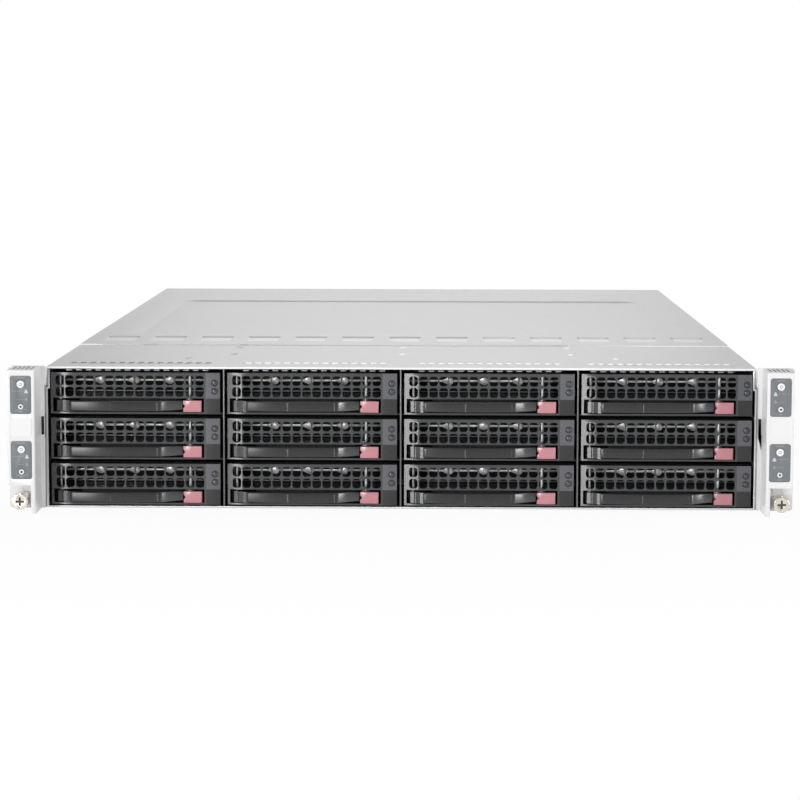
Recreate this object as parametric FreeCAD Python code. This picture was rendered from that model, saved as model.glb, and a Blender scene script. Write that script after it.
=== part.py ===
"""A 2U rack server with twelve 3.5 inch drive trays, four compute sleds and two power supplies.

Frame: +X to the right seen from the front, +Y to the rear, +Z up, in millimetres. Pieces are built in a
frame whose Y = 0 is the rack plane, the rear face of the rack flanges, and the whole model is then moved
along Y so that the origin lies under the middle of its bounding box. Z = 0 is the underside.
"""

import FreeCAD, Part
import math
import os

Vec = FreeCAD.Vector
X_AXIS = Vec(1, 0, 0)
Y_AXIS = Vec(0, 1, 0)
Z_AXIS = Vec(0, 0, 1)

# Overall sizes.
BODY_WIDTH = 437.0
BODY_HEIGHT = 88.0
BODY_DEPTH = 724.0
EAR_WIDTH = 22.8
RACK_HOLE_FROM_EDGE = 8.75
RACK_HOLE_HEIGHT = 6.0

# Sheet metal.
SHEET = 1.2
LAP_GAP = 0.1
COVER_FLANGE = 10.2
COVER_STEP = 0.6
COVER_EDGE_ROUND = 0.8
FRONT_COVER_DEPTH = 153.5
COVER_SEAM = 1.0
RIVET_RADIUS = 2.2
RIVET_EDGE = 0.4
DIVIDER_RIVETS = (88.0, 136.0)
COVER_SCREW_X = 136.0
COVER_SCREW_Y = 60.0

# Drive bays.
COLUMNS = 4
ROWS = 3
DIVIDER = 1.0
BAY_FLOOR_GAP = 0.9
BAY_TOP_GAP = 0.4
ROW_GAP = 2.8
TRAY_SIDE_GAP = 1.7
TRAY_FRONT = -1.0
DIVIDER_FRONT = 0.5
SHELF_FRONT = 14.0
SHELF_SHEET = 1.2

# Vent holes in the front cover, above the bays, and in the shelves between them.
VENT_ROW_Y = 23.3
VENT_RADIUS = 2.0
COVER_VENT_PITCH = 6.0
COVER_VENT_COUNT = 15
SHELF_VENT_PITCH = 8.1
SHELF_VENT_COUNT = 11
GUIDE_CLEARANCE = 0.5
GUIDE_HEIGHT = 4.0

# Tray bezel, in the tray's own frame: x from its middle, y from its face, z from its underside.
BEZEL_DEPTH = 22.0
BEZEL_WALL = 1.5
BEZEL_WEB = 1.1
GRILLE_THICK = 2.2
GRILLE_BOTTOM = 9.6
GRILLE_COLUMNS = 15
GRILLE_ROWS = 2
GRILLE_LEFT_EDGE = 3.1
GRILLE_RIGHT_EDGE = 9.9
GRILLE_TOP_EDGE = 2.05
GRILLE_BOTTOM_EDGE = 1.2
GRILLE_BAR = 1.25
GRILLE_RAIL = 1.55
GRILLE_HOLE_ROUND = 1.5
RECESS_WALL_Y = 12.0
BLOCK_WIDTH = 10.15
INDICATOR_FROM_RIGHT = 3.3
INDICATORS_BELOW_TOP = (11.3, 6.2)
INDICATOR_RADIUS = 1.5
INDICATOR_RING = 2.1
INDICATOR_PROUD = 0.35
LAMP_PROUD = 0.5

# Tray lever and latch. The lever's places count from the bezel's left end, the latch's from its lamp block.
PIN_RADIUS = 1.0
PIN_END_GAP = 0.2
RUNNING_GAP = 0.08
PRESS_GAP = 0.02
HINGE_FROM_LEFT = 5.55
HINGE_Y = 6.0
KNUCKLE_RADIUS = 3.0
LEVER_BOTTOM = 1.5
LEVER_TOP = 8.3
LEVER_BOW = 5.0
LEVER_LEFT_PROUD = 1.6
LEVER_RIGHT_PROUD = 3.6
LEVER_TIP_INSET = 1.6
LEVER_SCOOP_INSET = 0.2
LEVER_THICK = 3.2
LEVER_START = 11.5
LEVER_EDGE_ROUND = 0.7
LATCH_WIDTH = 11.3
LATCH_SIDE_GAP = 1.2
LATCH_PIVOT_INSET = 3.4
LATCH_PIVOT_Y = 10.0
LATCH_FACE_Y = -1.8
LATCH_PAD_THICK = 4.0
LATCH_PAD_ROUND = 0.8
LATCH_NOTCH = 1.3
LATCH_NOTCH_SPAN = 5.4
LATCH_ARM = 3.2
LATCH_KNUCKLE_RADIUS = 2.6
SCOOP_LENGTH = 13.8
TIP_GAP = 0.6

# Hard drive in the tray.
DRIVE_BEHIND_BEZEL = 5.0
DRIVE_LENGTH = 147.0
RAIL_GAP = 0.05
DRIVE_ROW_GAP = 2.1
DRIVE_RIM_HEIGHT = 18.0
DRIVE_RIM_THICK = 1.2
DRIVE_INSET = 1.2
DRIVE_BOSS_RADIUS = 2.4
DRIVE_BOSS_DEPTH = 1.2
DRIVE_BOSS_TAIL = 5.4
DRIVE_BOSS_SPREAD = 21.7
DRIVE_BOSS_OFFSET = -2.6
DRIVE_SCREW_FROM_REAR = 28.5
DRIVE_SCREW_SPACING = 101.6
DRIVE_SCREW_HEAD = 2.8
DRIVE_SCREW_SHANK = 1.4
DRIVE_SCREW_REACH = 3.0
DRIVE_SCREW_LEVEL = 6.35
DRIVE_CORNER = 3.0
RAIL_INSET = 1.5
RAIL_OVERRUN = 2.0

# Backplane.
BACKPLANE_GAP = 3.5
BACKPLANE_THICK = 2.4
BACKPLANE_EDGE = 2.0
SOCKET_SIZE = (42.0, 3.2, 7.0)
SOCKET_LIFT = 2.0
WINDOW_SIZE = (40.0, 11.0)
SOCKET_TO_MIDDLE = 4.0

# Fans.
FAN_DEPTH = 38.0
FAN_RIM = 2.0
FAN_HUB = 15.0
FAN_TIP_GAP = 1.5
FAN_END_GAP = 2.0
FAN_BLADES = 7
FAN_BEHIND_BACKPLANE = 14.0
FAN_RAIL = 1.2
FAN_RAIL_DEPTH = 12.0
FAN_RAIL_GAP = 0.8
FAN_WALL_GAP = 5.0
STRUT = 3.0
BLADE_THICK = 1.6
BLADE_PITCH = 38.0

# Sleds and power supplies.
SLED_BEHIND_FANS = 14.0
SUPPLY_BAY_WIDTH = 79.0
MODULE_GAP = 0.8
SHELF_GAP = 0.6
SLED_SHEET = 1.0
SLED_FLANGE = 13.0
BOARD_LIFT = 4.0
BOARD_THICK = 1.6
PANEL_GAP = 0.3
SUPPLY_LENGTH = 335.0
SUPPLY_SHEET = 1.0

# Sled rear panel, counted from its left edge as seen from the front. Cavities are width, height and depth.
PORT_MARGIN = 6.0
PORT_SPACE = 3.0
PORT_PROUD = 0.5
PORT_DEPTH = 18.0
JACK_WIDTH = 16.0
JACK_HEIGHT = 13.5
JACK_CAVITY = (11.9, 8.4, 14.0)
JACK_FLOOR = 1.6
JACK_KEYWAY = (6.0, 2.0)
USB_WIDTH = 14.6
USB_HEIGHT = 15.5
USB_CAVITY = (12.6, 5.2, 12.0)
USB_TONGUE = (11.0, 1.7, 10.0)
USB_TONGUE_LIFT = 2.9
VIDEO_WIDTH = 30.8
VIDEO_HEIGHT = 12.5
VIDEO_SHROUD = (17.2, 15.2, 8.1, 5.0)
VIDEO_POST_SPAN = 25.0
VIDEO_POST_RADIUS = 2.4
VIDEO_POST_LENGTH = 4.0
SLOT_WIDTH = 79.0
SLOT_HEIGHT = 16.0
SLOT_FROM_TOP = 1.5
VENT_MARGIN = 3.0
VENT_CORNER = 1.5

# Sled handle and catch.
HANDLE_REACH = 20.0
HANDLE_BAR = 4.0
HANDLE_WIDTH = 8.0
HANDLE_FROM_RIGHT = 12.0
HANDLE_HEIGHT = 27.0
HANDLE_LOW = 5.5
CATCH_WIDTH = 6.0
CATCH_HEIGHT = 14.0
CATCH_LOW = 11.0
CATCH_REACH = 11.0
CATCH_PAD = 3.0
CATCH_CORNER = 1.2
CATCH_GAP = 1.5

# What stands on the sled's board.
BOARD_FRONT = 8.0
BOARD_MARGIN = 1.5
POST_RADIUS = 3.0
POST_FROM_EDGE = 9.0
POST_FROM_END = 16.0
COOLER_SIZE = 92.0
COOLER_SPAN = 165.0
COOLER_FROM_FRONT = 128.0
CEILING_GAP = 1.0
COOLER_HEIGHT = 26.0
MEMORY_LENGTH = 133.0
MEMORY_HEIGHT = 29.0
MEMORY_THICK = 3.0
MEMORY_PER_BANK = 4
FRONT_PLUG = (60.0, 14.0, 12.0)
CHIP_SIZE = (36.0, 36.0, 9.0)
CHIP_X = 42.0
CHIP_FROM_REAR = 26.0

# Power supply fittings. The inlet's cavity and blades are width, height and depth.
SUPPLY_FAN_RADIUS = 18.0
SUPPLY_FAN_MARGIN = 2.2
SUPPLY_FAN_DEPTH = 24.0
SUPPLY_FAN_WALL = 0.9
SUPPLY_FAN_LAP = 0.4
SUPPLY_FAN_HUB = 8.0
SUPPLY_FAN_BLADES = 5
SUPPLY_BLADE = (1.2, 12.0)
INLET_CAVITY = (24.5, 16.5, 17.0)
INLET_WALL = 1.8
INLET_FROM_RIGHT = 8.0
INLET_FROM_TOP = 3.0
INLET_BLADE = (2.0, 4.0, 11.0)
INLET_BLADE_SPACING = 7.0
INLET_BLADE_LIFT = 3.0
BAIL_RADIUS = 1.8
BAIL_BEND = 4.5
BAIL_REACH = 20.0
BAIL_WIDTH = 32.0
TAB_THICK = 2.5
TAB_HEIGHT = 20.0
TAB_REACH = 13.0
TAB_PAD = (5.5, 16.0, 4.0)
TAB_FROM_EDGE = 1.5
TONGUE_WIDTH = 48.0
TONGUE_REACH = 9.0

# Rack ears with the control panels.
FLANGE_SHEET = 1.6
WING_LENGTH = 62.0
FLANGE_CORNER = 2.0
EAR_RELIEF = (0.6, 1.5)
EAR_SLOT_HEIGHTS = (45.4, 56.8)
EAR_SLOT_FROM_WING = 0.9
EAR_SCREW_PLACES = ((18.0, 14.0), (18.0, 62.0), (46.0, 38.0))
EAR_SCREW_RADIUS = 3.0
EAR_SCREW_PROUD = 1.0
HOUSING_DEPTH = 27.0
HOUSING_FROM_BODY = 3.0
HOUSING_WIDTH = 16.5
HOUSING_BOTTOM = 17.4
HOUSING_WALL = 1.6
RIB_WIDTH = 2.8
HOUSING_ROUND = 0.9
HOUSING_VENTS = 5
HOUSING_VENT_WIDTH = 1.4
HOUSING_VENT_MARGIN = 4.0
LABEL_WIDTH = 12.8
LABEL_HEIGHT = 23.3
LABEL_THICK = 0.4
LABELS_BELOW_TOP = (55.1, 15.3)
LABEL_ROUND = 1.6
LABEL_GAP = 0.05
POWER_ABOVE = 6.5
POWER_RADIUS = 2.25
IDENT_BELOW = 7.2
IDENT_RADIUS = 1.55
BUTTON_GAP = 0.2
BUTTON_PROUD = 0.6
BUTTON_TRAVEL = 0.6
BUTTON_COLLAR = 0.8
BUTTON_STEM_RADIUS = 1.1
BUTTON_EDGE = 0.3
PANEL_BOARD_DEPTH = 13.0
SWITCH_SIZE = 4.4
SWITCH_HEIGHT = 3.6

# Captive rack screws and slide-rail studs.
SCREW_HEAD_RADIUS = 5.0
SCREW_HEAD_LENGTH = 11.0
SCREW_FACE = 18.0
SCREW_HEAD_EDGE = 0.6
SCREW_NECK_RADIUS = 3.4
SCREW_NECK_GAP = 0.3
SCREW_SHOULDER_RADIUS = 2.8
SCREW_SHOULDER_OUT = 1.0
SCREW_SHANK_RADIUS = 2.5
SCREW_SHANK_OUT = 11.0
SCREW_HOLE_RADIUS = 3.2
SCREW_CROSS_HALF = 2.6
SCREW_CROSS_WIDTH = 1.2
SCREW_CROSS_DEPTH = 2.0
SCREW_SLOT_WIDTH = 0.7
SCREW_SLOT_DEPTH = 0.7
STUD_RADIUS = 2.5
STUD_LENGTH = 3.0
STUD_HEIGHT = 44.0
STUD_POSITIONS = (120.0, 400.0, 660.0)

# Stamping of the rear cover.
PANEL_SIDE_MARGIN = 29.0
PANEL_FRONT = 238.0
PANEL_REAR_MARGIN = 148.0
STAMP_DEPTH = 1.0
STAMP_SLOPE = 2.5
STAMP_ROUND = 12.0
PAD_COUNT = 13
PAD_SIDE_MARGIN = 6.5
PAD_WIDTH = 23.5
PAD_FRONT = 182.0
PAD_LENGTH = 38.0
PAD_DEPTH = 0.9
PAD_SLOPE = 1.6
PAD_ROUND = 3.0

# Derived places.
HALF_BODY = BODY_WIDTH / 2
HALF_RACK = HALF_BODY + EAR_WIDTH
RACK_HOLE_X = HALF_RACK - RACK_HOLE_FROM_EDGE
INNER_HALF = HALF_BODY - SHEET
UPPER_OUTER = HALF_BODY - SHEET - LAP_GAP
UPPER_INNER = UPPER_OUTER - SHEET
COVER_TOP = BODY_HEIGHT
COVER_UNDER = BODY_HEIGHT - SHEET
FRONT_COVER_TOP = BODY_HEIGHT - COVER_STEP
FRONT_COVER_UNDER = FRONT_COVER_TOP - SHEET
FLANGE_BOTTOM = FRONT_COVER_UNDER - COVER_FLANGE
WALL_STEP = FLANGE_BOTTOM - LAP_GAP * 10
WING_TOP = FLANGE_BOTTOM - LAP_GAP * 5
COLUMN_PITCH = (2 * INNER_HALF + DIVIDER) / COLUMNS
TRAY_WIDTH = COLUMN_PITCH - DIVIDER - 2 * TRAY_SIDE_GAP
HALF_TRAY = TRAY_WIDTH / 2
ROW_PITCH = (FRONT_COVER_UNDER - SHEET - BAY_TOP_GAP) / ROWS
TRAY_HEIGHT = ROW_PITCH - ROW_GAP
DRIVE_HEIGHT = ROW_PITCH - DRIVE_ROW_GAP
DRIVE_BOTTOM = (TRAY_HEIGHT - DRIVE_HEIGHT) / 2
HALF_DRIVE = HALF_TRAY - BEZEL_WALL + RAIL_GAP
DRIVE_FRONT = BEZEL_DEPTH + DRIVE_BEHIND_BEZEL
DRIVE_REAR = DRIVE_FRONT + DRIVE_LENGTH
TRAY_REAR = TRAY_FRONT + DRIVE_REAR
LAMP_X = HALF_TRAY - INDICATOR_FROM_RIGHT
LAMP_HEIGHTS = [TRAY_HEIGHT - below for below in INDICATORS_BELOW_TOP]
HINGE_X = HINGE_FROM_LEFT - HALF_TRAY
LATCH_X = HALF_TRAY - BLOCK_WIDTH - LATCH_SIDE_GAP - LATCH_WIDTH
LATCH_PIVOT_X = LATCH_X + LATCH_PIVOT_INSET
PIN_PLACES = ((HINGE_X, HINGE_Y), (LATCH_PIVOT_X, LATCH_PIVOT_Y))
BACKPLANE_FRONT = TRAY_REAR + BACKPLANE_GAP
BACKPLANE_REAR = BACKPLANE_FRONT + BACKPLANE_THICK
FAN_FRONT = BACKPLANE_REAR + FAN_BEHIND_BACKPLANE
FAN_REAR = FAN_FRONT + FAN_DEPTH
SLED_FRONT = FAN_REAR + SLED_BEHIND_FANS
SLED_LENGTH = BODY_DEPTH - SLED_FRONT
HALF_SUPPLY_BAY = SUPPLY_BAY_WIDTH / 2
BANK_INNER = HALF_SUPPLY_BAY + SHEET
SLED_WIDTH = UPPER_INNER - BANK_INNER - 2 * MODULE_GAP
HALF_SLED = SLED_WIDTH / 2
SLED_X = (UPPER_INNER + BANK_INNER) / 2
MODULE_CEILING = COVER_UNDER - STAMP_DEPTH - SHELF_GAP
MODULE_PITCH = (MODULE_CEILING - SHEET + SHELF_GAP) / 2
SLED_HEIGHT = MODULE_PITCH - 2 * SHELF_GAP - DIVIDER
SHELF_Z = SHEET + MODULE_PITCH - SHELF_GAP - DIVIDER / 2
BOARD_TOP = BOARD_LIFT + BOARD_THICK
HALF_SUPPLY = HALF_SUPPLY_BAY - MODULE_GAP
SUPPLY_FAN_X = SUPPLY_FAN_RADIUS + SUPPLY_FAN_MARGIN - HALF_SUPPLY
FAN_LEVEL = (SHEET + MODULE_CEILING) / 2
HALF_FAN = (MODULE_CEILING - SHEET) / 2 - FAN_RAIL - FAN_RAIL_GAP
FAN_BORE = HALF_FAN - FAN_RIM
PANEL_HALF_WIDTH = HALF_BODY - PANEL_SIDE_MARGIN
PANEL_REAR = BODY_DEPTH - PANEL_REAR_MARGIN
PAD_PITCH = 2 * (HALF_BODY - PAD_SIDE_MARGIN) / PAD_COUNT
HOUSING_INNER = HALF_BODY + HOUSING_FROM_BODY
HOUSING_OUTER = HOUSING_INNER + HOUSING_WIDTH
HOUSING_MIDDLE = HOUSING_INNER + HOUSING_WIDTH / 2
PANEL_BOARD_BACK = HOUSING_DEPTH - PANEL_BOARD_DEPTH
LABEL_CENTRES = [BODY_HEIGHT - below for below in LABELS_BELOW_TOP]
FRONT_MOST = -HOUSING_DEPTH - BUTTON_PROUD
REAR_MOST = BODY_DEPTH + max(HANDLE_REACH, BAIL_REACH)
ORIGIN_SHIFT = Vec(0, -(FRONT_MOST + REAR_MOST) / 2, 0)


def box(x0, x1, y0, y1, z0, z1):
    return Part.makeBox(x1 - x0, y1 - y0, z1 - z0, Vec(x0, y0, z0))


def rod(start, radius, length, axis):
    return Part.makeCylinder(radius, length, start, axis)


def joined(shapes):
    return shapes[0].fuse(shapes[1:]).removeSplitter()


def moved(shape, x=0.0, y=0.0, z=0.0):
    copy = shape.copy()
    copy.translate(Vec(x, y, z))
    return copy


def mirrored(shape):
    return shape.mirror(Vec(0, 0, 0), X_AXIS)


def round_rectangle(x0, x1, y0, y1, z, radius):
    """Closed wire of a rectangle with round corners, flat at height z."""
    turn = radius * (1 - math.sqrt(0.5))
    corners = [
        (Vec(x1 - radius, y0, z), Vec(x1 - turn, y0 + turn, z), Vec(x1, y0 + radius, z)),
        (Vec(x1, y1 - radius, z), Vec(x1 - turn, y1 - turn, z), Vec(x1 - radius, y1, z)),
        (Vec(x0 + radius, y1, z), Vec(x0 + turn, y1 - turn, z), Vec(x0, y1 - radius, z)),
        (Vec(x0, y0 + radius, z), Vec(x0 + turn, y0 + turn, z), Vec(x0 + radius, y0, z)),
    ]
    edges = []
    for here, following in zip(corners, corners[1:] + corners[:1]):
        edges.append(Part.Arc(*here).toShape())
        edges.append(Part.LineSegment(here[2], following[0]).toShape())
    return Part.Wire(edges)


def round_prism_z(x0, x1, y0, y1, z0, z1, radius):
    """Block with its four upright edges rounded."""
    return Part.Face(round_rectangle(x0, x1, y0, y1, z0, radius)).extrude(Vec(0, 0, z1 - z0))


def round_prism_y(x0, x1, y0, y1, z0, z1, radius):
    """Block with its four edges along Y rounded."""
    block = round_prism_z(x0, x1, z0, z1, 0, y1 - y0, radius)
    block.rotate(Vec(0, 0, 0), X_AXIS, 90)
    return moved(block, y=y1)


def tapered_block(x0, x1, y0, y1, z_top, depth, slope, radius):
    """Pocket shape that narrows downwards by slope on every side."""
    top = round_rectangle(x0, x1, y0, y1, z_top, radius)
    x0, x1, y0, y1 = x0 + slope, x1 - slope, y0 + slope, y1 - slope
    bottom = round_rectangle(x0, x1, y0, y1, z_top - depth, radius - slope / 2)
    return Part.makeLoft([top, bottom], True, True)


def edges_along(shape, axis, chosen):
    """Straight edges parallel to an axis whose middle passes the test."""
    found = []
    for edge in shape.Edges:
        if len(edge.Vertexes) != 2 or edge.Curve.TypeId != "Part::GeomLine":
            continue
        start, end = (vertex.Point for vertex in edge.Vertexes)
        direction = (end - start).normalize()
        if abs(abs(direction.dot(axis)) - 1) < 1e-6 and chosen((start + end) * 0.5):
            found.append(edge)
    return found


def round_rims(shape, axis, place):
    """Full circles whose start lies at a given place along an axis."""
    circles = [edge for edge in shape.Edges if len(edge.Vertexes) == 1]
    return [edge for edge in circles if abs(edge.Vertexes[0].Point.dot(axis) - place) < 0.01]


# ---------------------------------------------------------------- chassis, cage and covers


def chassis_tub():
    """Folded base and side walls. The top of each wall steps inwards to take the covers' flanges."""
    base = box(-HALF_BODY, HALF_BODY, 0, BODY_DEPTH, 0, SHEET)
    lower_wall = box(INNER_HALF, HALF_BODY, 0, BODY_DEPTH, SHEET, WALL_STEP)
    step = box(UPPER_INNER, HALF_BODY, 0, BODY_DEPTH, WALL_STEP - SHEET, WALL_STEP)
    upper_wall = box(UPPER_INNER, UPPER_OUTER, 0, BODY_DEPTH, WALL_STEP, FRONT_COVER_UNDER - LAP_GAP)
    wall = joined([lower_wall, step, upper_wall])
    return joined([base, wall, mirrored(wall)])


def rail_studs():
    """Studs on both side walls for the inner slide rails."""
    studs = []
    for y in STUD_POSITIONS:
        stud = rod(Vec(HALF_BODY, y, STUD_HEIGHT), STUD_RADIUS, STUD_LENGTH, X_AXIS)
        studs += [stud, mirrored(stud)]
    return studs


def module_bay_walls():
    """Two upright partitions beside the power supplies."""
    wall = box(HALF_SUPPLY_BAY, BANK_INNER, SLED_FRONT, BODY_DEPTH, SHEET, MODULE_CEILING)
    return [wall, mirrored(wall)]


def module_bay_shelves():
    """Shelves between the lower and upper modules, one in each bank and one in the supply bay."""
    low, high = SHELF_Z - DIVIDER / 2, SHELF_Z + DIVIDER / 2
    bank = box(BANK_INNER, INNER_HALF, SLED_FRONT, BODY_DEPTH, low, high)
    middle = box(-HALF_SUPPLY_BAY, HALF_SUPPLY_BAY, SLED_FRONT, BODY_DEPTH, low, high)
    return [bank, mirrored(bank), middle]


def chassis():
    return [chassis_tub(), *rail_studs(), *module_bay_walls(), *module_bay_shelves()]


def column_x(column):
    return (column - (COLUMNS - 1) / 2) * COLUMN_PITCH


def row_z(row):
    return SHEET + BAY_FLOOR_GAP + row * ROW_PITCH


def divider_places():
    return [column_x(gap) - COLUMN_PITCH / 2 for gap in range(1, COLUMNS)]


def vent_holes(middle_x, pitch, count, z0, z1):
    first = middle_x - pitch * (count - 1) / 2
    return [rod(Vec(first + i * pitch, VENT_ROW_Y, z0), VENT_RADIUS, z1 - z0, Z_AXIS) for i in range(count)]


def bay_guides(column, row):
    """Two ribs, one on each side of a bay, that the tray slides between."""
    z = row_z(row) + TRAY_HEIGHT / 2
    outer = (COLUMN_PITCH - DIVIDER) / 2
    inner = HALF_TRAY + GUIDE_CLEARANCE
    rib = box(inner, outer, SHELF_FRONT, TRAY_REAR, z - GUIDE_HEIGHT / 2, z + GUIDE_HEIGHT / 2)
    return [moved(rib, x=column_x(column)), moved(mirrored(rib), x=column_x(column))]


def bay_shelf(column, row):
    """Vented shelf under an upper tray, midway between its drive and the drive below."""
    x = column_x(column)
    half = (COLUMN_PITCH - DIVIDER) / 2
    z = row_z(row) + DRIVE_BOTTOM - (DRIVE_ROW_GAP + SHELF_SHEET) / 2
    shelf = box(x - half, x + half, SHELF_FRONT, TRAY_REAR, z, z + SHELF_SHEET)
    return shelf.cut(vent_holes(x, SHELF_VENT_PITCH, SHELF_VENT_COUNT, z - 1, z + SHELF_SHEET + 1))


def drive_cage():
    """Dividers between the columns, guide ribs and shelves."""
    top = FRONT_COVER_UNDER - LAP_GAP
    half = DIVIDER / 2
    solids = [box(x - half, x + half, DIVIDER_FRONT, TRAY_REAR, SHEET, top) for x in divider_places()]
    for column in range(COLUMNS):
        for row in range(ROWS):
            solids += bay_guides(column, row)
            if row > 0:
                solids.append(bay_shelf(column, row))
    return solids


def cover_blank(y0, y1, top):
    """Plate with a flange folded down along each side."""
    under = top - SHEET
    flange = box(HALF_BODY - SHEET, HALF_BODY, y0, y1, FLANGE_BOTTOM, under)
    blank = joined([box(-HALF_BODY, HALF_BODY, y0, y1, under, top), flange, mirrored(flange)])
    folds = edges_along(blank, Y_AXIS, lambda m: m.z > top - 0.01 and abs(m.x) > HALF_BODY - 0.01)
    return blank.makeFillet(COVER_EDGE_ROUND, folds)


def rivet(x, y, z):
    """Low rivet head with a sloped rim, standing on a plate at height z."""
    head = rod(Vec(x, y, z), RIVET_RADIUS, COVER_STEP, Z_AXIS)
    return head.makeChamfer(RIVET_EDGE, round_rims(head, Z_AXIS, z + COVER_STEP))


def front_cover():
    """Fixed cover over the drive bays, vented along its front edge and riveted to the dividers."""
    plate = cover_blank(0, FRONT_COVER_DEPTH, FRONT_COVER_TOP)
    front = edges_along(plate, X_AXIS, lambda m: m.y < 0.01 and m.z > FRONT_COVER_TOP - 0.01)
    plate = plate.makeFillet(COVER_EDGE_ROUND, front)
    low, high = FRONT_COVER_UNDER - 1, FRONT_COVER_TOP + 1
    holes = []
    for column in range(COLUMNS):
        holes += vent_holes(column_x(column), COVER_VENT_PITCH, COVER_VENT_COUNT, low, high)
    rivets = [rivet(x, y, FRONT_COVER_TOP) for x in divider_places() for y in DIVIDER_RIVETS]
    rivets += [rivet(side * COVER_SCREW_X, COVER_SCREW_Y, FRONT_COVER_TOP) for side in (-1, 1)]
    return [plate.cut(holes), *rivets]


def stamping(x0, x1, y0, y1, depth, slope, radius):
    """What a stamped pocket takes from the cover's top, and what it pushes out below."""
    wall = SHEET / 2
    sink = tapered_block(x0, x1, y0, y1, COVER_TOP, depth, slope, radius)
    skin = tapered_block(x0 - wall, x1 + wall, y0 - wall, y1 + wall, COVER_UNDER, depth, slope, radius)
    return sink, skin


def top_cover():
    """Lift-off rear cover with one large sunk panel and a row of shallow stamped pads before it."""
    plate = cover_blank(FRONT_COVER_DEPTH + COVER_SEAM, BODY_DEPTH, COVER_TOP)
    side = PANEL_HALF_WIDTH
    stampings = [stamping(-side, side, PANEL_FRONT, PANEL_REAR, STAMP_DEPTH, STAMP_SLOPE, STAMP_ROUND)]
    half, pad_rear = PAD_WIDTH / 2, PAD_FRONT + PAD_LENGTH
    for i in range(PAD_COUNT):
        x = (i - (PAD_COUNT - 1) / 2) * PAD_PITCH
        stampings.append(stamping(x - half, x + half, PAD_FRONT, pad_rear, PAD_DEPTH, PAD_SLOPE, PAD_ROUND))
    sinks = [sink for sink, _ in stampings]
    skins = [skin for _, skin in stampings]
    return [plate.fuse(skins).cut(sinks).removeSplitter()]


# ---------------------------------------------------------------- drive trays


def grille_holes():
    """Round-cornered holes that fill the grille plate inside its margins."""
    width = TRAY_WIDTH - GRILLE_LEFT_EDGE - GRILLE_RIGHT_EDGE
    height = TRAY_HEIGHT - GRILLE_BOTTOM - GRILLE_BOTTOM_EDGE - GRILLE_TOP_EDGE
    pitch_x = (width + GRILLE_BAR) / GRILLE_COLUMNS
    pitch_z = (height + GRILLE_RAIL) / GRILLE_ROWS
    wide, high = pitch_x - GRILLE_BAR, pitch_z - GRILLE_RAIL
    holes = []
    for column in range(GRILLE_COLUMNS):
        x = GRILLE_LEFT_EDGE - HALF_TRAY + column * pitch_x
        for row in range(GRILLE_ROWS):
            z = GRILLE_BOTTOM + GRILLE_BOTTOM_EDGE + row * pitch_z
            holes.append(round_prism_y(x, x + wide, -1, GRILLE_THICK + 1, z, z + high, GRILLE_HOLE_ROUND))
    return holes


def pin_holes():
    length = TRAY_HEIGHT + 2
    return [rod(Vec(x, y, -1), PIN_RADIUS + PRESS_GAP, length, Z_AXIS) for x, y in PIN_PLACES]


def tray_bezel():
    """Moulded front: a grille over a recess for the lever, webs that hold the pins, and a lamp block."""
    high = TRAY_HEIGHT
    left, right = -HALF_TRAY, HALF_TRAY
    block = right - BLOCK_WIDTH
    recess_back = RECESS_WALL_Y + BEZEL_WEB
    bezel = joined(
        [
            box(left, right, 0, GRILLE_THICK, GRILLE_BOTTOM, high),
            box(left, right, 0, BEZEL_DEPTH, high - BEZEL_WEB, high),
            box(left, right, 0, BEZEL_DEPTH, 0, BEZEL_WEB),
            box(left, right, 0, BEZEL_DEPTH, GRILLE_BOTTOM, GRILLE_BOTTOM + BEZEL_WEB),
            box(left, left + BEZEL_WALL, 0, BEZEL_DEPTH, 0, high),
            box(right - BEZEL_WALL, right, 0, BEZEL_DEPTH, 0, high),
            box(block, right, 0, GRILLE_THICK, 0, GRILLE_BOTTOM),
            box(block, block + BEZEL_WEB, 0, RECESS_WALL_Y, 0, GRILLE_BOTTOM),
            box(HINGE_X + LEVER_START, LATCH_X - LEVER_THICK, RECESS_WALL_Y, recess_back, 0, GRILLE_BOTTOM),
        ]
    )
    ring, bore = INDICATOR_RING, INDICATOR_RADIUS + PRESS_GAP
    rings = [rod(Vec(LAMP_X, -INDICATOR_PROUD, z), ring, GRILLE_THICK, Y_AXIS) for z in LAMP_HEIGHTS]
    bores = [rod(Vec(LAMP_X, -1, z), bore, BEZEL_DEPTH, Y_AXIS) for z in LAMP_HEIGHTS]
    return bezel.fuse(rings).cut(bores + grille_holes() + pin_holes())


def tray_pins():
    length = TRAY_HEIGHT - 2 * PIN_END_GAP
    return [rod(Vec(x, y, PIN_END_GAP), PIN_RADIUS, length, Z_AXIS) for x, y in PIN_PLACES]


def tray_lamps():
    """Clear light pipes behind the two indicators."""
    return [rod(Vec(LAMP_X, -LAMP_PROUD, z), INDICATOR_RADIUS, BEZEL_DEPTH, Y_AXIS) for z in LAMP_HEIGHTS]


def drive_screw_places():
    last = DRIVE_REAR - DRIVE_SCREW_FROM_REAR
    level = DRIVE_BOTTOM + DRIVE_SCREW_LEVEL
    return [(y, level) for y in (last - DRIVE_SCREW_SPACING, last)]


def tray_rails():
    """Side rails that carry the drive, with countersinks for its screws."""
    rear = DRIVE_REAR - RAIL_OVERRUN
    rail = box(HALF_DRIVE, HALF_TRAY, BEZEL_DEPTH, rear, RAIL_INSET, TRAY_HEIGHT - RAIL_INSET)
    for y, z in drive_screw_places():
        rail = rail.cut(rod(Vec(HALF_DRIVE - 1, y, z), DRIVE_SCREW_HEAD + LAP_GAP, BEZEL_WALL + 2, X_AXIS))
    return [rail, mirrored(rail)]


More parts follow.
